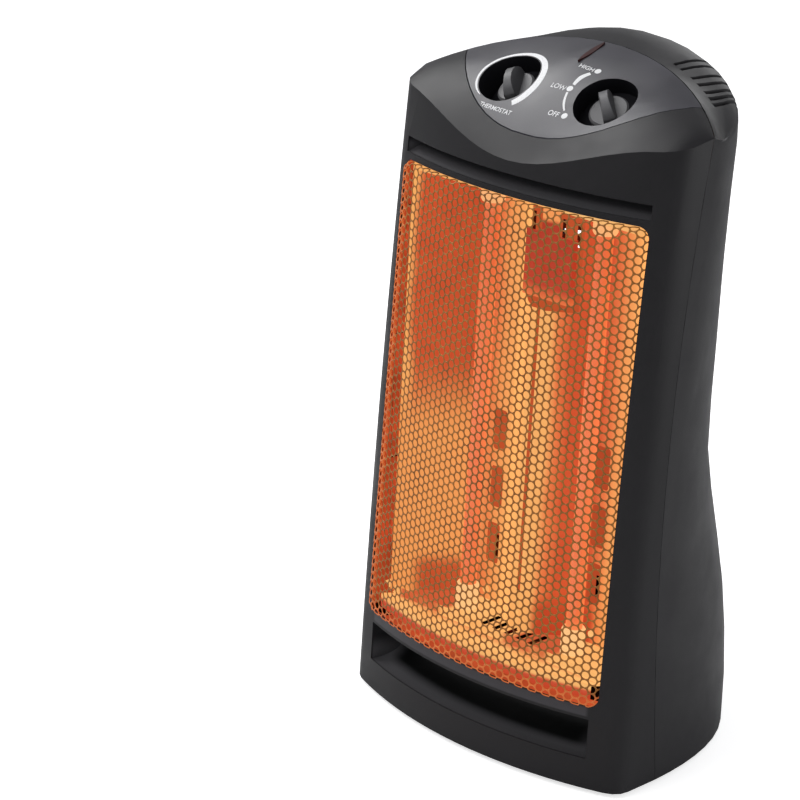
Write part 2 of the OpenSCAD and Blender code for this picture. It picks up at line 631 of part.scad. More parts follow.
// Bent sheet from an open line of points, thickened on the side away from the tubes
function ribbon(p, t) = concat(p, [for (i = [len(p) - 1:-1:0])
    let (a = unit(p[max(i, 1)] - p[max(i, 1) - 1]),
        b = unit(p[min(i + 1, len(p) - 1)] - p[min(i + 1, len(p) - 1) - 1]),
        n = unit([-a[1] - b[1], a[0] + b[0]]))
    p[i] + n * t / (n * [-a[1], a[0]])]);
tube_y = -59;
reflector_y = -35;
reflector_low = bracket_low + sheet + seat;
reflector_high = bracket_high - seat;
cap_h = 22;
neck_d = 11;
socket_z = 10.8;
cap_gap = 0.2;
tube_z = reflector_low - 0.1 + socket_z + cap_gap;
tube_len = reflector_high + 0.1 - socket_z - cap_gap - tube_z;
slot_z = [139.5, 189.5, 240];
screw_zs = [bracket_low + 10, bracket_high - 9];
trough = concat([[2, -63], [7, -63.5]],
    [for (i = [0:4]) bezier2([20, -54], [34, reflector_y - 5], [44, reflector_y], i / 4)],
    [for (i = [0:4]) bezier2([74, reflector_y], [86, reflector_y - 5], [98, -56], i / 4)],
    [[122, -84], [125, -84]]);
module reflector() difference() {
    translate([0, 0, reflector_low]) linear_extrude(reflector_high - reflector_low)
        polygon(ribbon(trough, sheet));
    for (z = slot_z) translate([tube_x - 3 - 7, -60, z - 18]) {
        translate([0, 0, 3]) cube([14, 40, 30]);
        translate([3, 0, 0]) cube([8, 40, 36]);
        for (x = [3, 11]) for (h = [3, 33]) translate([x, 40, h]) rotate([90, 0, 0]) cylinder(r = 3, h = 40);
    }
    for (z = screw_zs) translate([tube_x, -60, z]) rotate([-90, 0, 0]) cylinder(d = screw_hole, h = 40);
    // Window round the limit thermostat's plate
    translate([-5, -90, plate_mid - 33]) cube([33, 60, 200]);
}
plate_mid = 398;
module reflector_right() color(steel) reflector();
module reflector_left() color(steel) mirror([1, 0, 0]) reflector();

module quartz_tube() translate([tube_x, tube_y, tube_z]) difference() {
    cylinder(d = tube_d, h = tube_len);
    translate([0, 0, -1]) cylinder(d = tube_d - 2 * tube_wall, h = tube_len + 2);
}
module quartz_tube_right() color(ember) quartz_tube();
module quartz_tube_left() color(ember) mirror([1, 0, 0]) quartz_tube();
// End cap with its socket upwards; the neck passes through the bracket
module end_cap() difference() {
    union() {
        cylinder(d = cap_d, h = cap_h - 2);
        translate([0, 0, cap_h - 2]) cylinder(d1 = cap_d, d2 = cap_d - 2.4, h = 2);
        translate([0, 0, -11]) cylinder(d = neck_d, h = 12);
    }
    translate([0, 0, socket_z]) cylinder(d = tube_d + 0.3, h = 30);
    translate([0, 0, -12]) cylinder(d = 4, h = 30);
    translate([0, 0, 6]) difference() {
        cylinder(d = cap_d + 4, h = 2);
        cylinder(d = cap_d - 2.4, h = 2);
    }
}
module end_caps() {
    translate([tube_x, tube_y, reflector_low - 0.1]) end_cap();
    translate([tube_x, tube_y, reflector_high + 0.1]) mirror([0, 0, 1]) end_cap();
}
module end_caps_right() color([0.9, 0.88, 0.82]) end_caps();
module end_caps_left() color([0.9, 0.88, 0.82]) mirror([1, 0, 0]) end_caps();

// Round wire swept along a path; refs gives each ring a direction across the wire
function ring(p, t, ref, r, sides) = let (a = unit(cross(t, ref)), b = cross(a, t))
    [for (j = [0:sides - 1]) p + r * (cos(360 * j / sides) * a + sin(360 * j / sides) * b)];
module sweep(path, refs, r, sides = 6) {
    last = len(path) - 1;
    polyhedron([for (i = [0:last])
        each ring(path[i], unit(path[min(last, i + 1)] - path[max(0, i - 1)]), refs[i], r, sides)],
        concat([[for (j = [sides - 1:-1:0]) j]], [[for (j = [0:sides - 1]) last * sides + j]],
            [for (i = [0:last - 1]) for (j = [0:sides - 1])
                let (k = i * sides, m = (j + 1) % sides)
                each [[k + j, k + m, k + sides + m], [k + j, k + sides + m, k + sides + j]]]));
}
curl_steps = 8;
function helix(r, pitch, turns) = [for (i = [0:turns * curl_steps])
    [r * cos(360 * i / curl_steps), r * sin(360 * i / curl_steps), pitch * i / curl_steps]];
function outward(path) = [for (p = path) unit([p[0], p[1], 0])];
// Least gap of a winding to its own next turn, measured on the points of its path
function least_gap(path, wire) = min([for (i = [0:len(path) - 1])
    for (j = [i + curl_steps / 2:min(len(path) - 1, i + 2 * curl_steps)])
        norm(path[i] - path[j])]) - wire;
coil_turns = 32;
coil_pitch = (tube_len - 44) / coil_turns;
coil_r = 3.6;
coil_wire = 0.6;
echo(coil_gap = least_gap(helix(coil_r, coil_pitch, coil_turns), 2 * coil_wire));
// Heating wire with a straight lead into each end cap
module heating_coil() translate([tube_x, tube_y, tube_z + 22]) {
    path = concat([[coil_r, 0, -21.6], [coil_r, 0, -3]], helix(coil_r, coil_pitch, coil_turns),
        [[coil_r, 0, tube_len - 41], [coil_r, 0, tube_len - 22.4]]);
    sweep(path, outward(path), coil_wire);
}
module heating_coil_right() color([0.95, 0.5, 0.2]) heating_coil();
module heating_coil_left() color([0.95, 0.5, 0.2]) mirror([1, 0, 0]) heating_coil();

// Steel brackets at both ends of the tubes; up is +1 for the top one
shelf_front = -86;
shelf_back = reflector_y + sheet + 0.3;
shelf_half = 120;
shield_half = 100;
lip_h = 6;
flange_h = 18;
lug_x = 92;
lug_z = [bracket_low + 10, bracket_high - 10];
module hole_back(x, y, z, d, h = 12) translate([x, y, z]) rotate([-90, 0, 0]) cylinder(d = d, h = h);
module bracket(z, up) {
    end = up > 0 ? 1 : 0;
    difference() {
        union() {
            translate([-shelf_half, shelf_front, z])
                cube([2 * shelf_half, shelf_back + sheet - shelf_front, sheet]);
            // Front lip and rear flange, both bent towards the tubes
            translate([-shelf_half + 2, shelf_front, z - end * lip_h])
                cube([2 * shelf_half - 4, sheet, lip_h + sheet]);
            translate([-shield_half, shelf_back, z - end * flange_h])
                cube([2 * shield_half, sheet, flange_h + sheet]);
            for (s = [-1, 1]) {
                translate([s * 128 - 12, tab_y - 6, z]) cube([24, 14, sheet]);
                translate([s * 135.4 - 4.9, tab_y, up > 0 ? z : z - 13])
                    cube([9.8, sheet, up > 0 ? 22 : 13 + sheet]);
            }
        }
        for (s = [-1, 1]) {
            translate([s * tube_x, tube_y, z - 5]) cylinder(d = neck_d + 0.6, h = 12);
            hole_back(s * boss_x, tab_y - 5, up > 0 ? high_boss_z : low_boss_z, screw_hole);
            hole_back(s * tube_x, shelf_back - 5, screw_zs[end], screw_hole);
            hole_back(s * lug_x, shelf_back - 5, lug_z[end], pilot);
        }
        for (i = [-2:2]) translate([i * 13 - 3, -76, z - 2]) cube([6, 24, 5]);
    }
}
module bottom_bracket() color(zinc) bracket(bracket_low, -1);
module top_bracket() color(zinc) bracket(bracket_high, 1);

plate_y = -55;
module limit_plate() color([0.6, 0.25, 0.15]) difference() {
    union() {
        translate([-25, plate_y, plate_mid - 27]) cube([50, sheet, 54]);
        translate([-9, plate_y, plate_mid + 20]) cube([18, sheet, bracket_high - 0.2 - plate_mid - 20]);
        translate([-9, plate_y, bracket_high - 0.2 - sheet]) cube([18, 12, sheet]);
        for (s = [-1, 1]) translate([s * 24.6 - 0.4, plate_y, plate_mid - 27]) cube([sheet, 5, 54]);
    }
    for (x = [-14, 14]) translate([x, plate_y - 5, plate_mid]) rotate([-90, 0, 0]) cylinder(d = 3.2, h = 12);
    translate([0, plate_y - 5, plate_mid]) rotate([-90, 0, 0]) cylinder(d = 10, h = 12);
}
module limit_thermostat() color([0.75, 0.75, 0.72]) translate([0, plate_y + sheet + 0.1, plate_mid])
    rotate([-90, 0, 0]) difference() {
        union() {
            cylinder(d = 17, h = 7);
            translate([0, 0, 7]) cylinder(d = 13, h = 4);
            translate([-18, -5, 0]) cube([36, 10, 0.8]);
            for (x = [-4, 4]) translate([x - 0.4, -3, 9]) cube([0.8, 6, 9]);
        }
        for (x = [-14, 14]) translate([x, 0, -1]) cylinder(d = 3.2, h = 4);
    }

// Heat shield: a shallow tray open to the front, with four lugs on the brackets
shield_low = bracket_low + 20;
shield_high = bracket_high - 20;
rim_y = shelf_back + sheet + 0.1;
module heat_shield() color(steel) difference() {
    union() {
        difference() {
            translate([-shield_half, rim_y, shield_low])
                cube([2 * shield_half, shield_y + sheet - rim_y, shield_high - shield_low]);
            translate([-shield_half + sheet, rim_y - 1, shield_low + sheet])
                cube([2 * (shield_half - sheet), shield_y - rim_y + 1, shield_high - shield_low - 2 * sheet]);
        }
        for (s = [-1, 1]) for (z = [shield_low - 18, shield_high])
            translate([s * lug_x - 6, rim_y, z]) cube([12, sheet, 18]);
    }
    for (s = [-1, 1]) for (z = lug_z) hole_back(s * lug_x, rim_y - 3, z, screw_hole, 8);
    for (s = [-1, 1]) for (z = post_z) hole_back(s * post_x, shield_y - 3, z, pilot, 8);
    for (i = [-5:5]) for (z = [shield_low + 14, shield_high - 34])
        translate([i * 16 - 2, shield_y - 3, z]) cube([4, 8, 20]);
}

// Tip-over switch on the base, pressed by the floor
tip_base = plate_low + 9.3;
tip_travel = 5;
module tip_switch_body() color([0.2, 0.2, 0.22]) translate([tip_x, tip_y, tip_base]) difference() {
    union() {
        translate([-9, -8, 0]) cube([18, 16, 28]);
        translate([9, -6, 8]) cube([9, 12, 14]);
        for (z = [11, 17]) translate([17, -2.4, z]) cube([7, 4.8, 0.8]);
        for (x = [-14, 8]) translate([x, -6, 0]) cube([6, 12, 3]);
    }
    translate([0, 0, -1]) cylinder(d = tip_hole - 0.2, h = 8);
    translate([0, 0, 2]) cylinder(d = 12.4, h = 23.6);
}
module tip_switch_plunger() color([0.75, 0.73, 0.68]) translate([tip_x, tip_y, 0]) {
    cylinder(d = 15, h = 2.4);
    translate([0, 0, 2]) cylinder(d = 6, h = tip_base + 22 - 2);
    translate([0, 0, tip_base + 2 + tip_travel + 0.6]) cylinder(d = 11.4, h = 2.4);
}
spring_turns = 5;
spring_pitch = 2.6;
spring_wire = 0.45;
spring_path = helix(4.4, spring_pitch, spring_turns);
module tip_switch_spring() color(zinc) translate([tip_x, tip_y, tip_base + 10.8])
    sweep(spring_path, outward(spring_path), spring_wire);
echo(spring_gap = least_gap(spring_path, 2 * spring_wire));

block_low = plate_top + 5.2;
block_h = 13;
module terminal_block() color([0.85, 0.84, 0.8]) translate([-70, 33, block_low]) difference() {
    cube([60, 14, block_h]);
    for (i = [0:3]) {
        translate([5 + i * 13, -1, 4]) cube([11, 6, 12]);
        translate([5 + i * 13, 9, 4]) cube([11, 6, 12]);
        translate([10.5 + i * 13, 7, 6]) cylinder(d = 4, h = 10);
    }
    for (x = [8, 52]) translate([x, 7, -1]) cylinder(d = screw_hole, h = 20);
}
// Insulated wire from a to d, bent like a curve with the pull points b and c
module wire(a, b, c, d) {
    path = [for (i = [0:10]) bezier3(a, b, c, d, i / 10)];
    sweep(path, [for (p = path) [0.8, 0.6, 0]], 1.3, 8);
}
function knob_point(side, p) = let (t = well_tilt, r = side * well_roll,
        q = [p[0], p[1] * cos(t) - p[2] * sin(t), p[1] * sin(t) + p[2] * cos(t)])
    [side * knob_x + q[0] * cos(r) + q[2] * sin(r), well_y + q[1], well_z - q[0] * sin(r) + q[2] * cos(r)];
module wiring_harness() color([0.7, 0.12, 0.1]) {
    wire([tube_x, tube_y, 81], [tube_x, -64, 40], [tip_x + 30, -20, 90],
        [tip_x + 22, tip_y, tip_base + 18.9]);
    wire([-tube_x, tube_y, 81], [-tube_x, -64, 30], [-60, 20, 70], [-59.5, 35.5, plate_top + 9.8]);
    wire([-33.5, 45, plate_top + 9.8], [-45, 60, 160], [-50, 30, 380],
        knob_point(-1, [-7.5, 0, body_top - 25.6]));
    wire([-20.5, 45, plate_top + 9.8], [30, 70, 160], [40, 30, 380],
        knob_point(1, [-7, 0, body_top - 25.6]));
}
module cord_inlet_bush() color([0.13, 0.13, 0.13]) at_inlet() difference() {
    union() {
        translate([0, 0, -wall - 3]) cylinder(d = inlet_d - 0.4, h = wall + 4);
        translate([0, 0, 0.6]) cylinder(d1 = 17, d2 = 14, h = 2.6);
        translate([0, 0, -wall - 3.4]) cylinder(d = 15, h = 2.2);
    }
    translate([0, 0, -12]) cylinder(d = 7, h = 20);
}

// Pan-head screw along +z, its head under the origin
module screw(length) {
    difference() {
        translate([0, 0, -2]) intersection() {
            cylinder(d = 6, h = 2);
            translate([0, 0, 3]) sphere(d = 8.4);
        }
        for (a = [0, 90]) rotate([0, 0, a]) translate([-1.6, -0.35, -3]) cube([3.2, 0.7, 2]);
    }
    cylinder(d = screw_d - 0.6, h = length);
}
module bracket_screws() color(zinc) for (p = bracket_bosses)
    translate([p[0], tab_y + sheet, p[1]]) rotate([90, 0, 0]) screw(10);
module reflector_screws() color(zinc) for (s = [-1, 1]) for (z = screw_zs)
    translate([s * tube_x, reflector_y, z]) rotate([-90, 0, 0]) screw(5);
module shield_screws() color(zinc) for (s = [-1, 1]) for (z = lug_z)
    translate([s * lug_x, rim_y + sheet, z]) rotate([90, 0, 0]) screw(5);
module rear_screws() color(zinc) for (s = [-1, 1]) for (z = post_z)
    translate([s * post_x, post_y + 3, z]) rotate([90, 0, 0]) screw(7);
module base_screws() color(zinc) for (p = concat(front_base, rear_base))
    translate([p[0], p[1], plate_low]) screw(13);
module terminal_screws() color(zinc) for (x = terminal_x)
    translate([x, 40, block_low + block_h]) mirror([0, 0, 1]) screw(16);

front_housing();
rear_housing();
control_panel();
base_plate();
guard();
guard_washers();
foot_pads();
thermostat_knob();
power_knob();
thermostat_shaft();
power_shaft();
thermostat_body();
power_switch_body();
bush_nuts();
indicator_lens();
indicator_lamp();
reflector_left();
reflector_right();
quartz_tube_left();
quartz_tube_right();
heating_coil_left();
heating_coil_right();
end_caps_left();
end_caps_right();
bottom_bracket();
top_bracket();
limit_plate();
limit_thermostat();
heat_shield();
tip_switch_body();
tip_switch_plunger();
tip_switch_spring();
terminal_block();
wiring_harness();
cord_inlet_bush();
bracket_screws();
reflector_screws();
shield_screws();
rear_screws();
base_screws();
terminal_screws();
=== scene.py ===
"""Looks of a quartz radiant heater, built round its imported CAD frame.

The housings, deck and inner parts keep the CAD shapes. The honeycomb guard, the wound wires, the
element tray and the printed scale are worked out here, and every surface gets its finish. Lengths
are in metres.
"""
import math

import bmesh
import bpy
import numpy as np
from bpy.props import FloatProperty, FloatVectorProperty, IntProperty, PointerProperty
from bpy.types import Operator, Panel, PropertyGroup
from mathutils import Matrix, Vector


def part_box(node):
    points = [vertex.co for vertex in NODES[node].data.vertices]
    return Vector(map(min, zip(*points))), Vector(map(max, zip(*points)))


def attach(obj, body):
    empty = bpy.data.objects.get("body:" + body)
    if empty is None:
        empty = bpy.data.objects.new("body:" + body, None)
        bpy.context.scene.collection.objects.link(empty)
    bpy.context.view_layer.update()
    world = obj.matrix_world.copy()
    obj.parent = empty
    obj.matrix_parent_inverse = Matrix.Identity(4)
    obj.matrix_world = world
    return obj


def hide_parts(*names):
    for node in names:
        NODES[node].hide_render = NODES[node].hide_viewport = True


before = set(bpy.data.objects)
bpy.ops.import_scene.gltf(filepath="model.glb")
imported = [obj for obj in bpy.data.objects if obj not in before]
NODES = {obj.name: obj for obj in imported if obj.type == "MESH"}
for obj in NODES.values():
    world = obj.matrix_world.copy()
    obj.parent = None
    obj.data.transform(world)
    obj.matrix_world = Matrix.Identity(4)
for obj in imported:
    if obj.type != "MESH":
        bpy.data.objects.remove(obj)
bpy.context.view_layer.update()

bl_info = {
    "name": "Quartz heater looks",
    "version": (1, 0, 0),
    "blender": (4, 5, 0),
    "location": "3D View > Sidebar > Heater",
    "description": "Finishes, honeycomb guard and printed scale of a quartz radiant heater",
    "category": "Object",
}

MM = 0.001
guard_low, guard_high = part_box("guard")
tube_low, tube_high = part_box("quartz_tube_right")
coil_low, coil_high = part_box("heating_coil_right")

# Measures of the body that the finishes and the net follow. The front and the parting line, here
# the seam, stand so far in front of the middle at the foot, and each has its own height above it.
FOOT = 4 * MM
BOW_RADIUS = 365 * MM
FRONT = 128.1 * MM
FRONT_LEAN = 18.5 * MM
FRONT_HEIGHT = 520 * MM
SEAM = 51.3 * MM
SEAM_BOW = 20.3 * MM
SEAM_HEIGHT = 529 * MM
TROUGH_WIDTH = 127 * MM
WELL_CENTRE = Vector((49, -59.3, 541.5)) * MM
WELL_RADIUS = 26.3 * MM
WELL_ROLL = math.radians(7)
DECK_SLOPE = math.radians(37)
SOFT_EDGE = math.radians(34)
SCREW_EDGE = math.radians(35)
ROUND_EDGE = math.radians(40)

# Colours of the painted glow, between ember and its brightest.
WARM = (0.86, 0.19, 0.055)
ORANGE = (0.94, 0.34, 0.095)


def length(name, description, millimetres):
    """A length that the user can change."""
    return FloatProperty(name=name, description=description, default=millimetres * MM, unit="LENGTH")


def angle_of(name, description, degrees):
    """An angle that the user can change."""
    return FloatProperty(
        name=name, description=description, default=math.radians(degrees), subtype="ANGLE")


def colour_of(name, description, *colour):
    """A linear colour that the user can change."""
    return FloatVectorProperty(
        name=name, description=description, default=colour, subtype="COLOR", size=3)


class HeaterGuardSizes(PropertyGroup):
    """Sizes of the honeycomb guard."""

    pitch: length("Cell pitch", "Upright distance between two openings of a column", 7.12)
    hole: length("Opening", "Diameter of one round opening", 6.2)
    sheet: length("Thickness", "Thickness of the wire round an opening", 0.9)
    bow: length("Bow radius", "Radius of the guard seen from above", BOW_RADIUS / MM)
    bend: length("Bend radius", "Radius at which the net turns back at its border", 3.2)
    corner: length("Corner radius", "Outer corner radius of the guard seen from the front", 9)
    flange: length("Flange", "Straight depth of the border behind its bend", 5.5)
    width: length("Width", "Outer width of the guard", 254)
    height: length("Height", "Outer height of the guard along its face", 390)
    lean: angle_of("Lean", "How far the guard leans back from upright", 2.092)


class HeaterElementSizes(PropertyGroup):
    """Sizes of the wound heating wires."""

    turns: IntProperty(name="Turns", description="Turns of one wound wire", default=96, min=20)
    radius: length("Winding radius", "Radius of the winding to the middle of its wire", 3.6)
    wire: length("Wire radius", "Radius of the heating wire", 0.5)


class HeaterPrintSizes(PropertyGroup):
    """Sizes of the scale printed on the deck."""

    dot: length("Dot radius", "Radius of the dots at the switch positions", 2.7)
    capital: length("Letter height", "Height of the capitals", 4.5)
    film: length("Ink film", "Thickness of the printed ink", 0.09)


class HeaterColours(PropertyGroup):
    """Colours of the finishes."""

    housing: colour_of("Housing", "Matte black of the moulded housings", 0.0115, 0.0108, 0.0125)
    deck: colour_of("Deck", "Satin charcoal of the control panel", 0.036, 0.0345, 0.043)
    knob: colour_of("Knobs", "Mid grey of the knobs", 0.098, 0.097, 0.101)
    # The guard's brown is painted light: it stands in for the elements' glow on the wires.
    net: colour_of("Guard", "Heat-tinted steel of the guard", 0.235, 0.098, 0.020)
    ember: colour_of("Ember", "Deep glow in the shaded side of a reflector", 0.66, 0.075, 0.022)
    glow: colour_of("Glow", "Bright glow on the lit side of a reflector", 1.0, 0.47, 0.14)


class HeaterStage(PropertyGroup):
    """The view and the studio round the heater."""

    azimuth: angle_of("Azimuth", "How far the camera stands to the right of the front", 43.66)
    elevation: angle_of("Elevation", "Height of the camera above the horizon, as an angle", 19.26)
    roll: angle_of("Roll", "How far the camera is turned about its own axis", 3.16)
    distance: length("Distance", "From the target to the camera", 2216)
    target: FloatVectorProperty(
        name="Target", description="Point in the middle of the picture",
        default=(-0.11244, -0.098, 0.26376), subtype="XYZ", unit="LENGTH", size=3)
    lens: FloatProperty(
        name="Focal length", description="Focal length of the lens, in millimetres", default=121.08)


class Finish:
    """A node material: its shader, and short calls for the nodes that feed it."""

    def __init__(self, name, **sockets):
        self.material = bpy.data.materials.new(name)
        self.material.use_nodes = True
        self.tree = self.material.node_tree
        self.shader = self.tree.nodes["Principled BSDF"]
        for socket, value in sockets.items():
            self.shader.inputs[socket.replace("_", " ")].default_value = value

    def node(self, kind, inputs, **settings):
        """Adds a node, sets the properties that its keywords name and feeds its inputs."""
        made = self.tree.nodes.new(kind)
        for key, value in settings.items():
            setattr(made, key, value)
        for key, value in inputs.items():
            self.feed(made.inputs[key], value)
        return made

    def feed(self, target, value):
        """Gives a socket, or the shader's socket of that name, an output, a colour or a number."""
        if isinstance(target, str):
            target = self.shader.inputs[target]
        if isinstance(value, bpy.types.NodeSocket):
            self.tree.links.new(value, target)
        else:
            target.default_value = (*value, 1) if target.type == "RGBA" else value

    def place(self):
        """Object coordinates, in metres."""
        return self.node("ShaderNodeTexCoord", {}).outputs["Object"]

    def axes(self):
        """Object coordinates as three values."""
        return self.node("ShaderNodeSeparateXYZ", {"Vector": self.place()}).outputs

    def noise(self, scale, detail=3.0, rough=0.55, stretch=(1, 1, 1)):
        """Noise in Object coordinates, with scale in waves per metre."""
        mapping = self.node("ShaderNodeMapping", {"Scale": stretch, "Vector": self.place()})
        return self.node("ShaderNodeTexNoise", {
            "Scale": scale, "Detail": detail, "Roughness": rough,
            "Vector": mapping.outputs["Vector"]}).outputs["Fac"]

    def ramp(self, value, stops):
        """Colours at places from 0 to 1."""
        made = self.node("ShaderNodeValToRGB", {"Fac": value})
        band = made.color_ramp
        for i, (place, colour) in enumerate(stops):
            stop = band.elements[i] if i < 2 else band.elements.new(place)
            stop.position = place
            stop.color = (*colour, 1)
        return made.outputs["Color"]

    def patches(self, scale, detail, dark, light, low=0.3, high=0.7):
        """Soft patches of two colours."""
        return self.ramp(self.noise(scale, detail), [(low, dark), (high, light)])

    def span(self, value, low, high, start=0.0, end=1.0, **settings):
        """Maps a value from one range to another, held at its ends."""
        return self.node("ShaderNodeMapRange", {
            "Value": value, "From Min": start, "From Max": end, "To Min": low, "To Max": high},
                         **settings).outputs["Result"]

    def step(self, value, start, end):
        """Goes softly from 0 at start to 1 at end, whichever is the larger."""
        low, high = (0, 1) if start < end else (1, 0)
        return self.span(value, low, high, min(start, end), max(start, end),
                         interpolation_type="SMOOTHSTEP")

    def band(self, value, start, full, fade, end):
        """Rises softly from 0 at start to 1 at full, and falls from 1 at fade to 0 at end."""
        return self.times(self.step(value, start, full), self.step(value, end, fade))

    def work_out(self, operation, first, *others):
        """Runs a math node over outputs and numbers, one after the other."""
        for other in others:
            first = self.node("ShaderNodeMath", {0: first, 1: other}, operation=operation).outputs[0]
        return first

    def times(self, *values):
        """The product of outputs and numbers."""
        return self.work_out("MULTIPLY", *values)

    def plus(self, *values):
        """The sum of outputs and numbers."""
        return self.work_out("ADD", *values)

    def minus(self, a, b):
        """The first output or number less the second."""
        return self.work_out("SUBTRACT", a, b)

    def wave(self, reach, *noise):
        """Noise about zero, from minus half its reach to plus half of it."""
        return self.times(self.minus(self.noise(*noise), 0.5), reach)

    def blend(self, share, a, b):
        """Mixes two colours, each an output or a plain colour."""
        return self.node("ShaderNodeMix", {0: share, 6: a, 7: b}, data_type="RGBA").outputs[2]

    def grain(self, value, strength, distance):
        """Bump from a value, distance in metres."""
        made = self.node("ShaderNodeBump", {
            "Strength": strength, "Distance": distance, "Height": value})
        self.feed("Normal", made.outputs["Normal"])


def mm(*values):
    """Millimetres in metres."""
    return [value * MM for value in values]


def shade(colour, by):
    """The colour, lighter or darker by a factor."""
    return tuple(c * by for c in colour)


def moulded_plastic(name, colour, rough, spread=0.06, shine=0.3, grain=0.25, more=None):
    """Moulded plastic with a fine eroded texture, faint cloudy patches and an even sheen.

    more is a function that adds to the finish, such as a glow on some of its faces.
    """
    f = Finish(name, Specular_IOR_Level=shine)
    cloud = f.noise(22, 4.0)
    both = f.blend(0.35, cloud, f.noise(1600, 2.0))
    f.feed("Base Color", f.ramp(both, [(0.3, shade(colour, 0.78)), (0.7, shade(colour, 1.28))]))
    f.feed("Roughness", f.span(cloud, rough - spread, rough + spread, 0.3, 0.7))
    f.grain(f.noise(1900, 2.5), grain, 0.00012)
    if more:
        more(f)
    return f.material


def face_data(mesh):
    """Centres and normals of a mesh's faces, as two arrays with a row for each face."""
    found = []
    for key in ("center", "normal"):
        values = np.zeros(len(mesh.polygons) * 3)
        mesh.polygons.foreach_get(key, values)
        found.append(values.reshape(-1, 3))
    return found


def facing_back(mesh):
    """1 for each face that looks to the rear, 0 for the rest."""
    return (face_data(mesh)[1][:, 1] > 0.3).astype(np.int32)


def looks_inwards(mesh):
    """0 for the outer faces of the side walls, 1 for the faces that may see the elements."""
    (x, _, _), (nx, _, _) = [data.T for data in face_data(mesh)]
    outer = (x * nx > 0.3 * np.abs(x)) & (np.abs(x) > 133 * MM)
    return (~outer).astype(np.int32)


def inner_sides(mesh):
    """1 for each face of the side walls or the back that looks inwards, 0 for the rest."""
    (x, y, _), (nx, ny, _) = [data.T for data in face_data(mesh)]
    sides = (x * nx < -0.5 * np.abs(x)) & (np.abs(x) > 90 * MM)
    back = (ny < -0.5) & (y > 15 * MM)
    return (sides | back).astype(np.int32)


def add_finishes(piece, finishes, chosen):
    """Adds finishes after a piece's first one; chosen gives each face the place of its finish."""
    for finish in finishes:
        piece.data.materials.append(finish)
    piece.data.polygons.foreach_set("material_index", chosen)


def behind_seam(f, y, z):
    """How far a point lies behind the parting line, in metres.

    The line stands in front of the middle at its ends and bows forward between them, as four times
    its share of the height times what is left of it.
    """
    share = f.work_out("DIVIDE", f.minus(z, FOOT), SEAM_HEIGHT)
    waist = f.times(share, f.minus(1.0, share))
    return f.plus(y, SEAM, f.times(waist, 4 * SEAM_BOW))


def behind_front(f, x, y, z):
    """How far a point lies behind the bowed and leaning front, in metres.

    The bow is the radius less the root of its square less x squared; the lean grows with the square
    of the height.
    """
    bow = f.minus(BOW_RADIUS, f.work_out("SQRT", f.minus(BOW_RADIUS ** 2, f.times(x, x)), 0))
    rise = f.work_out("DIVIDE", f.minus(z, FOOT), FRONT_HEIGHT)
    return f.minus(y, f.plus(bow, f.times(rise, rise, FRONT_LEAN), -FRONT))


def painted_glow_beside(f, colours):
    """Adds painted glow to the rear housing's inner walls: beside the elements, dimmer at the back."""
    _, y, z = f.axes()
    lit = f.plus(f.step(y, 0.0, -22 * MM), f.times(f.step(y, *mm(15, 25)), 0.10))
    # Painted glow from the elements on the inner walls.
    f.feed("Emission Strength", f.times(f.band(z, *mm(67, 69, 466, 470)), lit))
    f.feed("Emission Color", f.patches(35, 3.0, shade(colours.ember, 0.5), shade(colours.ember, 0.9)))


def painted_glow_inside(f, colours, walls=False):
    """Paints the glow on the front housing's inner faces, and light and shade in its two recesses.

    The bottoms of the groove over the guard and of the scoop under it are painted paler, as if lit,
    and the lip between guard and scoop gets a painted highlight. The scoop's hollow is painted darkest
    in its middle, a painted shadow. Walls glow right up to the parting line, other faces only to a
    little before it. A point lies inside where it is more than a wall's thickness behind the front.
    """
    x, y, z = f.axes()
    depth = behind_front(f, x, y, z)
    inside = f.step(depth, *mm(1.6, 2.6))
    if not walls:
        inside = f.times(inside, f.step(behind_seam(f, y, z), *mm(-2.5, -5)))
    # Painted glow from the elements on the inner faces.
    f.feed("Emission Color", f.patches(35, 3.0, shade(colours.ember, 0.55), shade(colours.ember, 0.95)))
    f.feed("Emission Strength", f.times(inside, f.band(z, *mm(64.8, 66, 468, 470)), 0.9))
    # Painted light: the bottoms of the groove and the scoop are paler, as if lit from above.
    groove = f.band(z, *mm(469.5, 471, 476, 482))
    scoop = f.band(z, *mm(28, 31, 36, 52))
    lit_floors = f.times(f.plus(groove, scoop), f.step(depth, *mm(0.3, 2.5)))
    colour = f.blend(lit_floors, f.shader.inputs["Base Color"].links[0].from_socket, (0.085, 0.083, 0.088))
    size = f.work_out("ABSOLUTE", x, 0)
    # Painted highlight on the lip between guard and scoop.
    lip = f.times(f.band(z, *mm(65.6, 67.4, 73.6, 75.4)), f.step(size, *mm(121, 117)),
                  f.step(depth, *mm(2.5, 1.5)))
    colour = f.blend(lip, colour, (0.052, 0.050, 0.056))
    # Painted shadow, darkest in the middle of the scoop.
    pocket_shadow = f.times(f.band(z, *mm(30.5, 34, 64, 66)), f.step(depth, *mm(5, 14)),
                     f.step(size, *mm(119, 96)))
    f.feed("Base Color", f.blend(pocket_shadow, colour, (0.0008, 0.0008, 0.0009)))


def brushed_metal(name, colour, rough, along=(1, 1, 0.06)):
    """Rolled sheet metal with fine drawn lines and a few dull patches."""
    f = Finish(name, Metallic=1.0)
    lines = f.noise(900, 3.0, 0.6, along)
    f.feed("Base Color", f.patches(30, 4.0, shade(colour, 0.8), shade(colour, 1.1)))
    f.feed("Roughness", f.span(lines, rough - 0.08, rough + 0.1, 0.3, 0.7))
    f.grain(lines, 0.12, 0.00006)
    return f.material


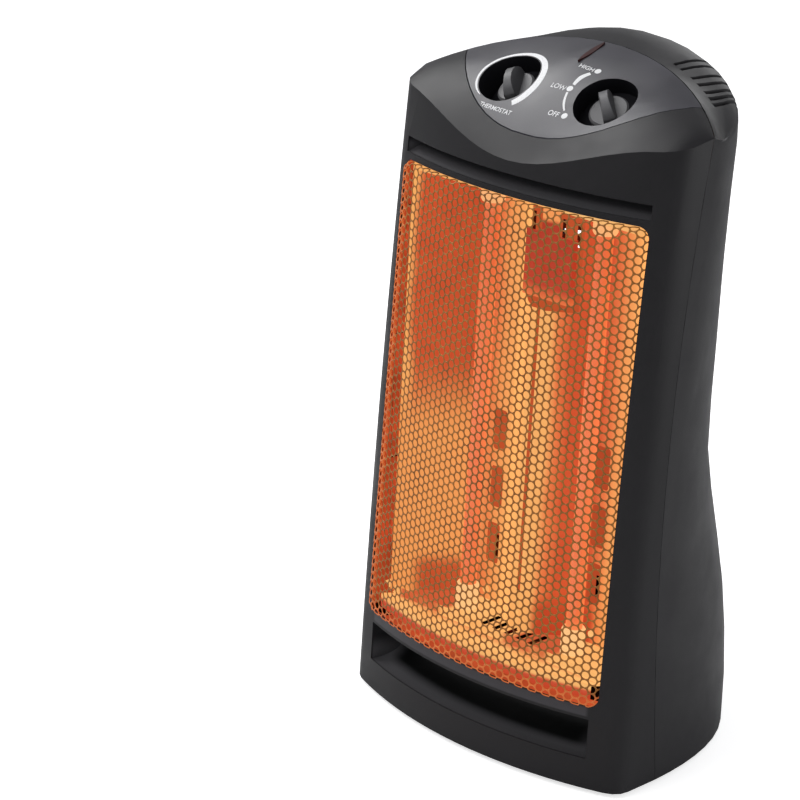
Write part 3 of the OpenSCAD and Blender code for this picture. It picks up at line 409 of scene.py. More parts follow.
def glowing(name, base, stops, strength, rough, metallic, axis, low, high):
    """A surface lit by the red-hot wires: its glow follows one axis, from low to high in metres."""
    f = Finish(name, Metallic=metallic, Roughness=rough, Emission_Strength=strength)
    share = f.span(f.axes()[axis], 0, 1, low, high)
    f.feed("Emission Color", f.ramp(f.plus(share, f.wave(0.09, 26, 3.0, 0.5, (1, 1, 0.35))), stops))
    f.feed("Base Color", f.patches(60, 3.0, shade(base, 0.85), base))
    f.grain(f.noise(500, 2.0, 0.5, (1, 1, 0.05)), 0.06, 0.00005)
    return f.material


def dress(node, finish, angle=None):
    """Gives a CAD node its finish; with an angle, edges softer than it are shaded smooth."""
    thing = NODES[node]
    thing.data.materials.clear()
    thing.data.materials.append(finish)
    if angle is not None:
        weld = thing.modifiers.new("Join facets", "WELD")
        weld.merge_threshold = 1e-5
        thing.data.polygons.foreach_set("use_smooth", np.ones(len(thing.data.polygons), bool))
        split = thing.modifiers.new("Keep edges", "EDGE_SPLIT")
        split.split_angle = angle
    return thing


def add_object(name, data):
    """A new object in the scene."""
    thing = bpy.data.objects.new(name, data)
    bpy.context.scene.collection.objects.link(thing)
    return thing


def softened_copy(node, name, finish, angle, body="heater"):
    """A merged copy of a CAD node with smooth shading up to an angle, which stands for the node."""
    mesh = NODES[node].data.copy()
    mesh.name = name
    if "custom_normal" in mesh.attributes:
        mesh.attributes.remove(mesh.attributes["custom_normal"])
    work = bmesh.new()
    work.from_mesh(mesh)
    bmesh.ops.remove_doubles(work, verts=work.verts, dist=2e-6)
    bmesh.ops.dissolve_limit(work, angle_limit=math.radians(0.4), verts=work.verts, edges=work.edges)
    work.to_mesh(mesh)
    work.free()
    mesh.polygons.foreach_set("use_smooth", np.ones(len(mesh.polygons), bool))
    mesh.set_sharp_from_angle(angle=angle)
    mesh.materials.clear()
    mesh.materials.append(finish)
    piece = add_object(name, mesh)
    weighted = piece.modifiers.new("Even shading", "WEIGHTED_NORMAL")
    weighted.keep_sharp = True
    weighted.weight = 60
    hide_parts(node)
    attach(piece, body)
    return piece


def new_piece(name, points, faces, finish, body="heater"):
    """A mesh piece from an array of points and an array of four-sided faces."""
    mesh = bpy.data.meshes.new(name)
    mesh.vertices.add(len(points))
    mesh.vertices.foreach_set("co", np.ascontiguousarray(points, np.float32).ravel())
    mesh.loops.add(faces.size)
    mesh.loops.foreach_set("vertex_index", np.ascontiguousarray(faces, np.int32).ravel())
    mesh.polygons.add(len(faces))
    mesh.polygons.foreach_set("loop_start", np.arange(0, faces.size, faces.shape[1], dtype=np.int32))
    mesh.polygons.foreach_set("use_smooth", np.ones(len(faces), bool))
    mesh.update(calc_edges=True)
    mesh.validate()
    mesh.materials.append(finish)
    piece = add_object(name, mesh)
    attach(piece, body)
    return piece


def grid_faces(rows, columns):
    """Four-sided faces of a grid of points, given row after row."""
    i, j = np.meshgrid(np.arange(rows - 1), np.arange(columns - 1), indexing="ij")
    k = (i * columns + j).ravel()
    return np.stack([k, k + 1, k + 1 + columns, k + columns], axis=-1)


def honeycomb(sizes):
    """Points and faces of the net, flat, as (u, v, depth) with u across and v up.

    Each cell is a six-sided outline of twelve points round a twelve-sided opening. Four rings,
    outline in front, opening in front, opening behind, outline behind, give the wire its crest.
    Columns stand the pitch times half the root of three apart, and every second one is half a
    pitch higher. Outline edges that only one cell has are closed by a wall from front to back.
    """
    p = sizes.pitch
    step = p * math.sqrt(3) / 2
    border = sizes.bend * math.pi / 2 + sizes.flange - sizes.bend
    reach_u = sizes.width / 2 + border
    reach_v = sizes.height / 2 + border
    n_u = int((reach_u - p / 2) / step)
    n_v = int((reach_v - p / 2) / p)
    columns, rows = np.meshgrid(np.arange(-n_u, n_u + 1), np.arange(-n_v, n_v + 1), indexing="ij")
    u0 = (columns * step).ravel()
    v0 = (rows * p + np.where(columns % 2 == 0, 0, p / 2)).ravel()
    keep = np.abs(v0) < reach_v - p / 2
    u0, v0 = u0[keep], v0[keep]
    sides = 12
    turn = np.radians(360 / sides * np.arange(sides))
    outline = np.where(np.arange(sides) % 2 == 0, p / math.sqrt(3), p / 2)
    opening = np.full(sides, sizes.hole / 2)
    rings = [(outline, 0.0), (opening, 0.34 * sizes.sheet), (opening, 0.8 * sizes.sheet),
             (outline, sizes.sheet)]
    cells = np.stack([np.stack([
        u0[:, None] + r * np.cos(turn), v0[:, None] + r * np.sin(turn),
        np.full((len(u0), sides), d)], axis=-1) for r, d in rings], axis=1)
    points = cells.reshape(-1, 3)
    base = (np.arange(len(u0)) * sides * len(rings))[:, None, None]
    k = np.arange(sides)
    after = (k + 1) % sides
    ring = np.arange(len(rings) - 1)[:, None] * sides
    quads = np.stack([ring + k, ring + after, ring + sides + after, ring + sides + k],
                     axis=-1).reshape(1, -1, 4)
    faces = (base + quads).reshape(-1, 4)
    keys = np.round(points / 2e-6).astype(np.int64)
    _, first, merged = np.unique(keys, axis=0, return_index=True, return_inverse=True)
    merged = merged.ravel()
    points = points[first]
    faces = merged[faces]
    edges = np.stack([base[:, 0] + k, base[:, 0] + after], axis=-1).reshape(-1, 2)
    front = merged[edges]
    back = merged[edges + (len(rings) - 1) * sides]
    _, where, count = np.unique(np.sort(front, axis=1), axis=0, return_index=True, return_counts=True)
    rim = where[count == 1]
    walls = np.stack([front[rim, 1], front[rim, 0], back[rim, 0], back[rim, 1]], axis=-1)
    return points, np.vstack([faces, walls])


def wrap_net(points, sizes):
    """Lays the flat net on the bowed front and turns its border back.

    Inside a rounded rectangle a point stays flat. Beyond its edge by s, the point goes round a
    quarter circle of the bend radius and then straight back. The bow is added last: its depth is
    the bow radius less the root of its square less x squared. The whole leans about the x axis.
    """
    u, v, depth = points.T
    r = sizes.bend
    corner = sizes.corner - r
    half = np.array([sizes.width / 2 - r - corner, sizes.height / 2 - r - corner])
    q = np.maximum(np.abs(np.stack([u, v], axis=-1)) - half, 0)
    far = np.linalg.norm(q, axis=1)
    beyond = np.maximum(far - corner, 0)
    out = q / np.maximum(far, 1e-9)[:, None] * np.sign(np.stack([u, v], axis=-1))
    angle = np.minimum(beyond / r, math.pi / 2)
    rest = np.maximum(beyond - r * math.pi / 2, 0)
    shift = r * np.sin(angle) - beyond - depth * np.sin(angle)
    flat = np.stack([u, v], axis=-1) + out * shift[:, None]
    back = r * (1 - np.cos(angle)) + rest + depth * np.cos(angle)
    x, up = flat.T
    y = back + sizes.bow - np.sqrt(sizes.bow ** 2 - x ** 2)
    c, s = math.cos(sizes.lean), math.sin(sizes.lean)
    middle = (guard_low.z + guard_high.z) / 2
    low_y = guard_low.y + math.sin(sizes.lean) * sizes.height / 2
    return np.stack([x, low_y + y * c + up * s, middle - y * s + up * c], axis=-1)


class HEATER_OT_guard(Operator):
    """Makes the bowed honeycomb guard with its border bent back"""

    bl_idname = "heater.guard"
    bl_label = "Honeycomb guard"

    def execute(self, context):
        sizes = context.scene.heater_guard
        points, faces = honeycomb(sizes)
        placed = wrap_net(points, sizes)
        piece = new_piece("honeycomb_guard", placed, faces[:, ::-1],
                          net_with_painted_glow(context.scene.heater_colours))
        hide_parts("guard")
        return {"FINISHED"}


def net_with_painted_glow(colours):
    """Steel net in painted glow: browned and lit from behind along its wires, redder at foot and left
    edge.
    """
    f = Finish("net browned by painted glow", Metallic=0.35, Roughness=0.42)
    uneven_glow = f.noise(45, 4.0)
    # The brown base colour is painted light, the elements' glow on the wires.
    f.feed("Base Color", f.ramp(uneven_glow, [(0.3, shade(colours.net, 0.7)), (0.7, shade(colours.net, 1.35))]))
    x, _, z = f.axes()
    # Painted glow on the wires, redder at the foot and the left edge.
    edge = f.work_out("MAXIMUM", f.step(z, *mm(92, 82)), f.step(x, *mm(-113, -121)))
    glow_tint = f.ramp(uneven_glow, [(0.3, (0.30, 0.09, 0.012)), (0.7, (0.42, 0.16, 0.02))])
    f.feed("Emission Color", f.blend(edge, glow_tint, (0.80, 0.15, 0.04)))
    f.feed("Emission Strength", f.span(edge, 0.22, 0.52))
    f.grain(f.noise(1200, 2.0), 0.1, 0.00005)
    return f.material


def tube_along(path, across, radius, sides):
    """A round tube along a path, its two ends closed by flat strips.

    Each point of the path gets a ring: the radius times the cosine of a turn along one direction,
    and the radius times its sine along another. The first direction is the cross product of the
    path's direction and the given one across, the second that of the first and the path's.
    """
    tangent = np.gradient(path, axis=0)
    tangent /= np.linalg.norm(tangent, axis=1)[:, None]
    a = np.cross(tangent, across)
    a /= np.linalg.norm(a, axis=1)[:, None]
    b = np.cross(a, tangent)
    t = 2 * math.pi * np.arange(sides) / sides
    rings = path[:, None] + radius * (np.cos(t)[:, None] * a[:, None] + np.sin(t)[:, None] * b[:, None])
    points = rings.reshape(-1, 3)
    i = np.arange(len(path) - 1)[:, None] * sides
    j = np.arange(sides)
    k = (j + 1) % sides
    faces = np.stack([i + j, i + k, i + sides + k, i + sides + j], axis=-1).reshape(-1, 4)
    last = (len(path) - 1) * sides
    n = np.arange(sides // 2 - 1)
    start = np.stack([n + 1, n, sides - 1 - n, sides - 2 - n], axis=-1)
    end = np.stack([last + n, last + n + 1, last + sides - 2 - n, last + sides - 1 - n], axis=-1)
    return points, np.vstack([faces, start, end])


class HEATER_OT_elements(Operator):
    """Makes the wound heating wires and finishes the quartz tubes and their end caps"""

    bl_idname = "heater.elements"
    bl_label = "Heating elements"

    def execute(self, context):
        sizes = context.scene.heater_elements
        hot = glowing(
            "red hot wire", (0.5, 0.2, 0.1), [(0.0, (1.0, 0.30, 0.06)), (1.0, (1.0, 0.44, 0.12))],
            strength=2.6, rough=0.5, metallic=0.2, axis=2, low=coil_low.z, high=coil_high.z)
        quartz = glowing(
            "frosted quartz", (0.30, 0.09, 0.04),
            [(0.0, (1.0, 0.36, 0.12)), (0.06, (0.86, 0.17, 0.055)), (0.5, (0.92, 0.20, 0.07)),
             (0.94, (0.80, 0.13, 0.04)), (1.0, (0.9, 0.3, 0.1))],
            strength=0.80, rough=0.22, metallic=0.0, axis=2, low=tube_low.z, high=tube_high.z)
        # The end caps glow with painted light from the wires.
        ceramic = glowing(
            "ceramic in painted glow", (0.40, 0.22, 0.10), [(0.0, (1.0, 0.62, 0.26)), (1.0, (1.0, 0.5, 0.2))],
            strength=0.75, rough=0.6, metallic=0.0, axis=2, low=coil_low.z, high=coil_high.z)
        lead = 18 * MM
        low, high = coil_low.z + lead, coil_high.z - lead
        points_a_turn = 14
        steps = sizes.turns * points_a_turn
        t = np.arange(steps + 1) / steps
        angle = 2 * math.pi * sizes.turns * t
        centre_x, centre_y = (tube_low.x + tube_high.x) / 2, (tube_low.y + tube_high.y) / 2
        ends = np.array([2 * MM, lead / 2, lead - 0.4 * MM])[:, None] * [0, 0, 1]
        for side, name in ((-1, "left"), (1, "right")):
            across = np.stack([side * np.cos(angle), np.sin(angle), np.zeros(steps + 1)], axis=-1)
            winding = np.array([centre_x * side, centre_y, 0]) + sizes.radius * across
            winding[:, 2] = low + (high - low) * t
            path = np.vstack([winding[0] - ends[::-1], winding, winding[-1] + ends])
            direction = np.vstack([across[:1].repeat(3, axis=0), across, across[-1:].repeat(3, axis=0)])
            points, faces = tube_along(path, direction, sizes.wire, sides=6)
            piece = new_piece("wound_wire_" + name, points, faces, hot)
            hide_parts("heating_coil_" + name)
            dress("quartz_tube_" + name, quartz, ROUND_EDGE)
            dress("end_caps_" + name, ceramic, ROUND_EDGE)
        return {"FINISHED"}


def lit_trough(name, colours, left):
    """Polished trough in the light of its wire: red where the left wall is, bright on the right.

    Across the trough the glow follows x from its left border to its right one. Near the foot the
    shade of the end cap darkens the left half, and the left trough's wall is paler half way down.
    """
    f = Finish(name, Metallic=0.6, Roughness=0.35, Emission_Strength=0.86)
    x, _, z = f.axes()
    start = TROUGH_WIDTH if left else 0.0
    share = f.plus(f.work_out("DIVIDE", f.plus(x, start), TROUGH_WIDTH),
                   f.wave(0.10, 24, 3.0, 0.5, (1, 1, 0.4)))
    red, deep, bright = colours.ember, shade(colours.ember, 0.86), colours.glow
    if left:
        stops = [(0.0, bright), (0.035, bright), (0.08, red), (0.30, deep), (0.40, red), (0.48, WARM),
                 (0.56, ORANGE), (0.67, bright)]
    else:
        stops = [(0.0, bright), (0.10, bright), (0.15, WARM), (0.21, red), (0.38, red), (0.47, WARM),
                 (0.54, ORANGE), (0.64, bright)]
    colour = f.ramp(share, stops)
    if left:
        low = f.times(f.step(z, *mm(300, 225)), f.step(share, 0.52, 0.40))
        colour = f.blend(low, colour, (0.94, 0.36, 0.10))
    foot = f.times(f.step(z, *mm(126, 108)), f.band(share, 0.08, 0.16, 0.42, 0.50), 0.9)
    f.feed("Emission Color", f.blend(foot, colour, (0.50, 0.045, 0.016)))
    f.feed("Base Color", f.patches(60, 3.0, (0.10, 0.035, 0.014), (0.16, 0.06, 0.022)))
    f.grain(f.noise(500, 2.0, 0.5, (1, 1, 0.05)), 0.06, 0.00005)
    return f.material


def lit_tray(colours):
    """Shelf and tray under the elements: bright, red in the shade of each trough, red on the apron."""
    f = Finish("lit tray", Metallic=0.5, Roughness=0.4, Emission_Strength=0.85)
    x, y, z = f.axes()
    colour = f.patches(30, 3.0, colours.glow, (1.0, 0.54, 0.18), 0.35, 0.65)
    troughs = f.plus(f.band(x, *mm(-115, -107, -70, -62)), f.band(x, *mm(2, 12, 50, 60)))
    shaded = f.times(troughs, f.step(f.plus(y, f.wave(12 * MM, 40, 3.0)), *mm(-93, -84)), 0.9)
    apron = f.times(f.step(z, *mm(88.5, 85)), f.step(y, *mm(-88, -90)))
    f.feed("Emission Color", f.blend(f.work_out("MAXIMUM", shaded, apron), colour, (0.58, 0.060, 0.024)))
    f.feed("Base Color", f.patches(60, 3.0, (0.10, 0.04, 0.016), (0.16, 0.07, 0.03)))
    return f.material


class HEATER_OT_reflectors(Operator):
    """Finishes all that shines in the light of the wires: troughs, plates, brackets and the tray"""

    bl_idname = "heater.reflectors"
    bl_label = "Reflectors"

    def execute(self, context):
        c = context.scene.heater_colours
        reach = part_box("reflector_right")[1].x
        dull = brushed_metal("dull steel behind", (0.30, 0.29, 0.28), 0.45)
        for side in ("left", "right"):
            trough = dress("reflector_" + side, lit_trough("lit reflector, " + side, c, side == "left"),
                           math.radians(30))
            add_finishes(trough, [dull], facing_back(trough.data))
        # The limit plate and its thermostat glow with painted light from the wires.
        plate = glowing(
            "plate in painted glow", (0.10, 0.02, 0.01),
            [(0.0, WARM), (0.13, (0.50, 0.045, 0.018)), (0.69, (0.42, 0.033, 0.013)), (0.73, ORANGE)],
            strength=0.9, rough=0.5, metallic=0.4, axis=2,
            low=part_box("limit_plate")[0].z, high=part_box("limit_plate")[1].z)
        dress("limit_plate", plate)
        dress("limit_thermostat", plate, SCREW_EDGE)
        shelf = glowing(
            "lit bracket", (0.16, 0.07, 0.03), [(0.0, c.glow), (0.5, (1.0, 0.56, 0.20)), (1.0, c.glow)],
            strength=0.85, rough=0.4, metallic=0.5, axis=0, low=0.0, high=reach)
        tray = lit_tray(c)
        dress("bottom_bracket", tray)
        dress("top_bracket", shelf)
        dress("bracket_screws", shelf, SCREW_EDGE)
        dress("reflector_screws", shelf, SCREW_EDGE)
        behind = glowing(
            "shield in the glow", (0.10, 0.03, 0.015),
            [(0.0, (0.62, 0.10, 0.03)), (1.0, (0.42, 0.035, 0.014))],
            strength=0.8, rough=0.45, metallic=0.6, axis=0, low=0.0, high=reach)
        shield = dress("heat_shield", behind)
        add_finishes(shield, [dull], facing_back(shield.data))
        self.tray(tray)
        return {"FINISHED"}

    def tray(self, finish):
        """Lays a thin bowed tray from the lip of the bottom bracket to the guard's foot.

        Its rows run forward from the lip. Each row keeps x, goes from the lip's y to the bowed
        front by a share of the way, and rises a little; the last rows turn down as an apron.
        """
        x = np.linspace(-117 * MM, 117 * MM, 41)
        share = np.array([0, 0.25, 0.5, 0.75, 0.97, 1.0, 1.0, 1.0])
        drop = np.array([0, 0, 0, 0, 0, -0.8, -4.0, -11.5]) * MM
        lip = -84.5 * MM
        height = 85.6 * MM
        front = guard_low.y + 10 * MM + BOW_RADIUS - np.sqrt(BOW_RADIUS ** 2 - x ** 2)
        gx, gs = np.meshgrid(x, share, indexing="ij")
        y = lip + (np.minimum(front, lip - 2 * MM)[:, None] - lip) * gs
        points = np.stack([gx, y, height + 5.0 * MM * gs + drop], axis=-1).reshape(-1, 3)
        piece = new_piece("element_tray", points, grid_faces(len(x), len(share)), finish)
        skin = piece.modifiers.new("Sheet", "SOLIDIFY")
        skin.thickness = 0.6 * MM
        skin.offset = 0


class HEATER_OT_housings(Operator):
    """Finishes the two moulded housings, the base plate and the feet"""

    bl_idname = "heater.housings"
    bl_label = "Housings"

    def execute(self, context):
        c = context.scene.heater_colours
        rough = 0.47
        black = moulded_plastic("matte black plastic", c.housing, rough)
        faces_in_glow = moulded_plastic("black plastic in the glow", c.housing, rough,
                                        more=lambda f: painted_glow_inside(f, c))
        front_walls = moulded_plastic("front walls in the glow", c.housing, rough,
                                      more=lambda f: painted_glow_inside(f, c, walls=True))
        rear_walls = moulded_plastic("rear walls in the glow", c.housing, rough,
                                     more=lambda f: painted_glow_beside(f, c))
        shell = softened_copy("front_housing", "front_shell", black, SOFT_EDGE)
        chosen = looks_inwards(shell.data) * (1 + inner_sides(shell.data))
        add_finishes(shell, [faces_in_glow, front_walls], chosen)
        rear = softened_copy("rear_housing", "rear_shell", black, SOFT_EDGE)
        add_finishes(rear, [rear_walls], inner_sides(rear.data))
        dress("base_plate", moulded_plastic("base plastic", c.housing, 0.6))
        rubber = moulded_plastic("grey rubber", (0.022, 0.022, 0.023), 0.8,
                                 spread=0.05, shine=0.25, grain=0.5)
        dress("foot_pads", rubber, SOFT_EDGE)
        dress("cord_inlet_bush", moulded_plastic("black bush", (0.012, 0.012, 0.012), 0.5), SOFT_EDGE)
        return {"FINISHED"}


def well_place(side):
    """The place of a well: x to the user's right, y up the deck and z out of it."""
    x, y, z = WELL_CENTRE
    return (Matrix.Translation((side * x, y, z))
            @ Matrix.Rotation(side * WELL_ROLL, 4, "Y") @ Matrix.Rotation(DECK_SLOPE, 4, "X"))


def inside_wells(mesh):
    """1 for each face that lies in one of the two finger wells, 0 for the rest."""
    centres, _ = face_data(mesh)
    found = np.zeros(len(centres), bool)
    for side in (-1, 1):
        place = np.array(well_place(side))
        local = (centres - place[:3, 3]) @ place[:3, :3]
        found |= (np.hypot(local[:, 0], local[:, 1]) < WELL_RADIUS) & (local[:, 2] < -1.5 * MM)
    return found.astype(np.int32)


class HEATER_OT_deck(Operator):
    """Finishes the inset control panel, its wells and the pilot lens"""

    bl_idname = "heater.deck"
    bl_label = "Control deck"

    def execute(self, context):
        c = context.scene.heater_colours
        satin = moulded_plastic("satin deck plastic", c.deck, 0.40, spread=0.05, shine=0.5, grain=0.12)
        panel = softened_copy("control_panel", "deck_panel", satin, SOFT_EDGE)
        # The wells get the deck plastic darkened to 0.30 of its colour: painted shade in the recesses.
        deep = moulded_plastic("well plastic in painted shade", shade(c.deck, 0.30), 0.5,
                               spread=0.05, shine=0.15, grain=0.12)
        add_finishes(panel, [deep], inside_wells(panel.data))
        f = Finish("dark red lens", Roughness=0.32, Specular_IOR_Level=0.35)
        f.feed("Base Color", f.patches(300, 2.0, (0.026, 0.0035, 0.003), (0.045, 0.006, 0.005)))
        dress("indicator_lens", f.material, ROUND_EDGE)
        f = Finish("lamp glass", Roughness=0.15, Transmission_Weight=0.6)
        f.feed("Base Color", f.patches(400, 2.0, (0.8, 0.35, 0.2), (0.95, 0.5, 0.3)))
        dress("indicator_lamp", f.material, ROUND_EDGE)
        return {"FINISHED"}


class HEATER_OT_knobs(Operator):
    """Finishes the two knobs"""

    bl_idname = "heater.knobs"
    bl_label = "Knobs"

    def execute(self, context):
        grey = moulded_plastic("grey knob plastic", context.scene.heater_colours.knob, 0.46,
                               spread=0.05, shine=0.45, grain=0.2)
        for name, body in (("thermostat_knob", "thermostat"), ("power_knob", "power")):
            softened_copy(name, name + "_grip", grey, math.radians(32), body)
        return {"FINISHED"}


def arc_band(start, end, inner, outer, steps=48, rows=4):
    """A flat band round a well, between two radii that change along it, as a grid of points.

    Each point lies at its radius times the cosine and the sine of its angle. inner and outer give
    (share of the way, radius in millimetres), and the angles are in degrees from the user's right,
    counted up the deck.
    """
    t = np.linspace(0, 1, steps)
    angle = np.radians(start + (end - start) * t)
    inside, outside = [np.interp(t, *np.array(r, float).T) * MM for r in (inner, outer)]
    share = np.linspace(0, 1, rows)[:, None]
    r = inside + (outside - inside) * share
    points = np.stack([r * np.cos(angle), r * np.sin(angle)], axis=-1).reshape(-1, 2)
    return points, grid_faces(rows, steps).tolist()


def dot(x, y, radius, sides=20, rings=4):
    """A round dot as rings about a small middle face; x and y in millimetres."""
    t = 2 * math.pi * np.arange(sides) / sides
    r = radius * np.linspace(1, 0.2, rings)[:, None]
    points = np.stack([x * MM + r * np.cos(t), y * MM + r * np.sin(t)], axis=-1).reshape(-1, 2)
    i, j = np.meshgrid(np.arange(rings - 1) * sides, np.arange(sides), indexing="ij")
    k, m = (i + j).ravel(), (i + (j + 1) % sides).ravel()
    faces = np.stack([k, m, m + sides, k + sides], axis=-1).tolist()
    return points, faces + [list(range((rings - 1) * sides, rings * sides))]


def print_on_deck(name, points, faces, place, film, ink, panel):
    """Lays a flat outline down on the control panel as a thin film of ink.

    The outline lies in the x and y of place and comes down along its z.
    """
    lift = 30 * MM
    mesh = bpy.data.meshes.new(name)
    mesh.from_pydata(np.column_stack([points, np.full(len(points), lift)]).tolist(), [], faces)
    mesh.materials.append(ink)
    work = bmesh.new()
    work.from_mesh(mesh)
    longest = 2.2 * MM
    bmesh.ops.subdivide_edges(
        work, edges=[e for e in work.edges if e.calc_length() > longest], cuts=1, use_grid_fill=True)
    bmesh.ops.recalc_face_normals(work, faces=work.faces)
    if sum(f.normal.z for f in work.faces) < 0:
        bmesh.ops.reverse_faces(work, faces=work.faces)
    work.to_mesh(mesh)
    work.free()
    piece = add_object(name, mesh)
    piece.matrix_world = place
    settle = piece.modifiers.new("Settle", "SHRINKWRAP")
    settle.target = panel
    settle.wrap_method = "PROJECT"
    settle.use_project_z = True
    settle.use_positive_direction = False
    settle.use_negative_direction = True
    settle.offset = 0.04 * MM
    skin = piece.modifiers.new("Film", "SOLIDIFY")
    skin.thickness = film
    skin.offset = 1
    bpy.context.view_layer.update()
    ready = bpy.data.meshes.new_from_object(piece.evaluated_get(bpy.context.evaluated_depsgraph_get()))
    ready.transform(place)
    piece.modifiers.clear()
    piece.data = ready
    piece.matrix_world = Matrix.Identity(4)
    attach(piece, "heater")


def word(text, right_end, baseline, height):
    """The outline of a word in plan: its letters run along x and stand up the sloping deck.

    A capital is 0.73 of the font's size, and up the slope it shrinks by the slope's cosine.
    """
    capital_share = 0.73
    curve = bpy.data.curves.new("letters " + text, "FONT")
    curve.body = text
    curve.size = height / capital_share
    curve.offset = 0.05 * MM
    curve.align_x = "RIGHT"
    curve.resolution_u = 3
    holder = add_object("letters " + text, curve)
    mesh = bpy.data.meshes.new_from_object(holder.evaluated_get(bpy.context.evaluated_depsgraph_get()))
    points = np.zeros(len(mesh.vertices) * 3)
    mesh.vertices.foreach_get("co", points)
    points = points.reshape(-1, 3)
    faces = [list(p.vertices) for p in mesh.polygons]
    bpy.data.objects.remove(holder)
    bpy.data.meshes.remove(mesh)
    plan = np.column_stack([points[:, 0] + right_end, points[:, 1] * math.cos(DECK_SLOPE) + baseline])
    return plan, faces


def gather(parts):
    """One outline from several: points stacked, faces counted on."""
    points, faces, count = [], [], 0
    for p, f in parts:
        points.append(np.asarray(p))
        faces += [[int(i) + count for i in face] for face in f]
        count += len(p)
    return np.vstack(points), faces


class HEATER_OT_marks(Operator):
    """Prints the white scale round the two wells"""

    bl_idname = "heater.marks"
    bl_label = "Printed scale"

    def execute(self, context):
        sizes = context.scene.heater_print
        panel = bpy.data.objects["deck_panel"]
        f = Finish("white ink", Roughness=0.55)
        f.feed("Base Color", f.patches(900, 3.0, (0.72, 0.72, 0.73), (0.86, 0.86, 0.87), 0.25, 0.6))
        ink = f.material
        crescent = arc_band(238, -54, [(0, 26.9), (0.9, 26.9), (1, 28.4)], [
            (0, 27.4), (0.07, 28.5), (0.25, 29.3), (0.5, 30.6), (0.75, 32.2), (0.95, 33.9), (1, 33.6)])
        print_on_deck("thermostat_crescent", *crescent, well_place(-1), sizes.film, ink, panel)
        high = arc_band(174, 149, [(0, 34.9), (0.5, 36.2), (1, 36.0)],
                        [(0, 37.9), (0.5, 40.4), (1, 39.4)], steps=14)
        low = arc_band(187, 218, [(0, 35.2), (0.5, 33.6), (1, 32.2)],
                       [(0, 37.0), (0.5, 35.6), (1, 33.6)], steps=14)
        dots = [dot(*p, sizes.dot) for p in ((-28.9, 24.3), (-36.4, -0.7), (-22.2, -24.5))]
        scale = gather([high, low, *dots])
        print_on_deck("power_scale", *scale, well_place(1), sizes.film, ink, panel)
        words = gather([
            word("HIGH", 18.4 * MM, -40.5 * MM, sizes.capital),
            word("LOW", 9.3 * MM, -62.2 * MM, sizes.capital),
            word("OFF", 19.8 * MM, -80.0 * MM, sizes.capital),
            word("THERMOSTAT", -23.2 * MM, -86.4 * MM, sizes.capital * 0.84)])
        print_on_deck("scale_words", *words, Matrix.Translation((0, 0, 0.6)), sizes.film, ink, panel)
        return {"FINISHED"}


class HEATER_OT_inner_parts(Operator):
    """Finishes the metal and plastic parts that stand out of the glow, and their fasteners"""

    bl_idname = "heater.inner_parts"
    bl_label = "Inner parts"

    def execute(self, context):
        zinc = brushed_metal("zinc plate", (0.62, 0.63, 0.62), 0.34, (1, 1, 1))
        steel = brushed_metal("rolled steel", (0.55, 0.55, 0.54), 0.38)
        for name in ("thermostat_shaft", "power_shaft", "bush_nuts", "tip_switch_spring", "shield_screws",
                     "rear_screws", "base_screws", "terminal_screws"):
            dress(name, zinc, SCREW_EDGE)
        dress("guard_washers", steel, SCREW_EDGE)
        cream = moulded_plastic("cream phenolic", (0.48, 0.44, 0.34), 0.5, spread=0.05, shine=0.4)
        for name in ("thermostat_body", "power_switch_body", "terminal_block", "tip_switch_plunger"):
            dress(name, cream, SCREW_EDGE)
        dress("tip_switch_body", moulded_plastic("black switch plastic", (0.03, 0.03, 0.033), 0.5))
        sleeve = moulded_plastic("red sleeve", (0.35, 0.03, 0.022), 0.5, spread=0.05, shine=0.4)
        dress("wiring_harness", sleeve, SCREW_EDGE)
        return {"FINISHED"}


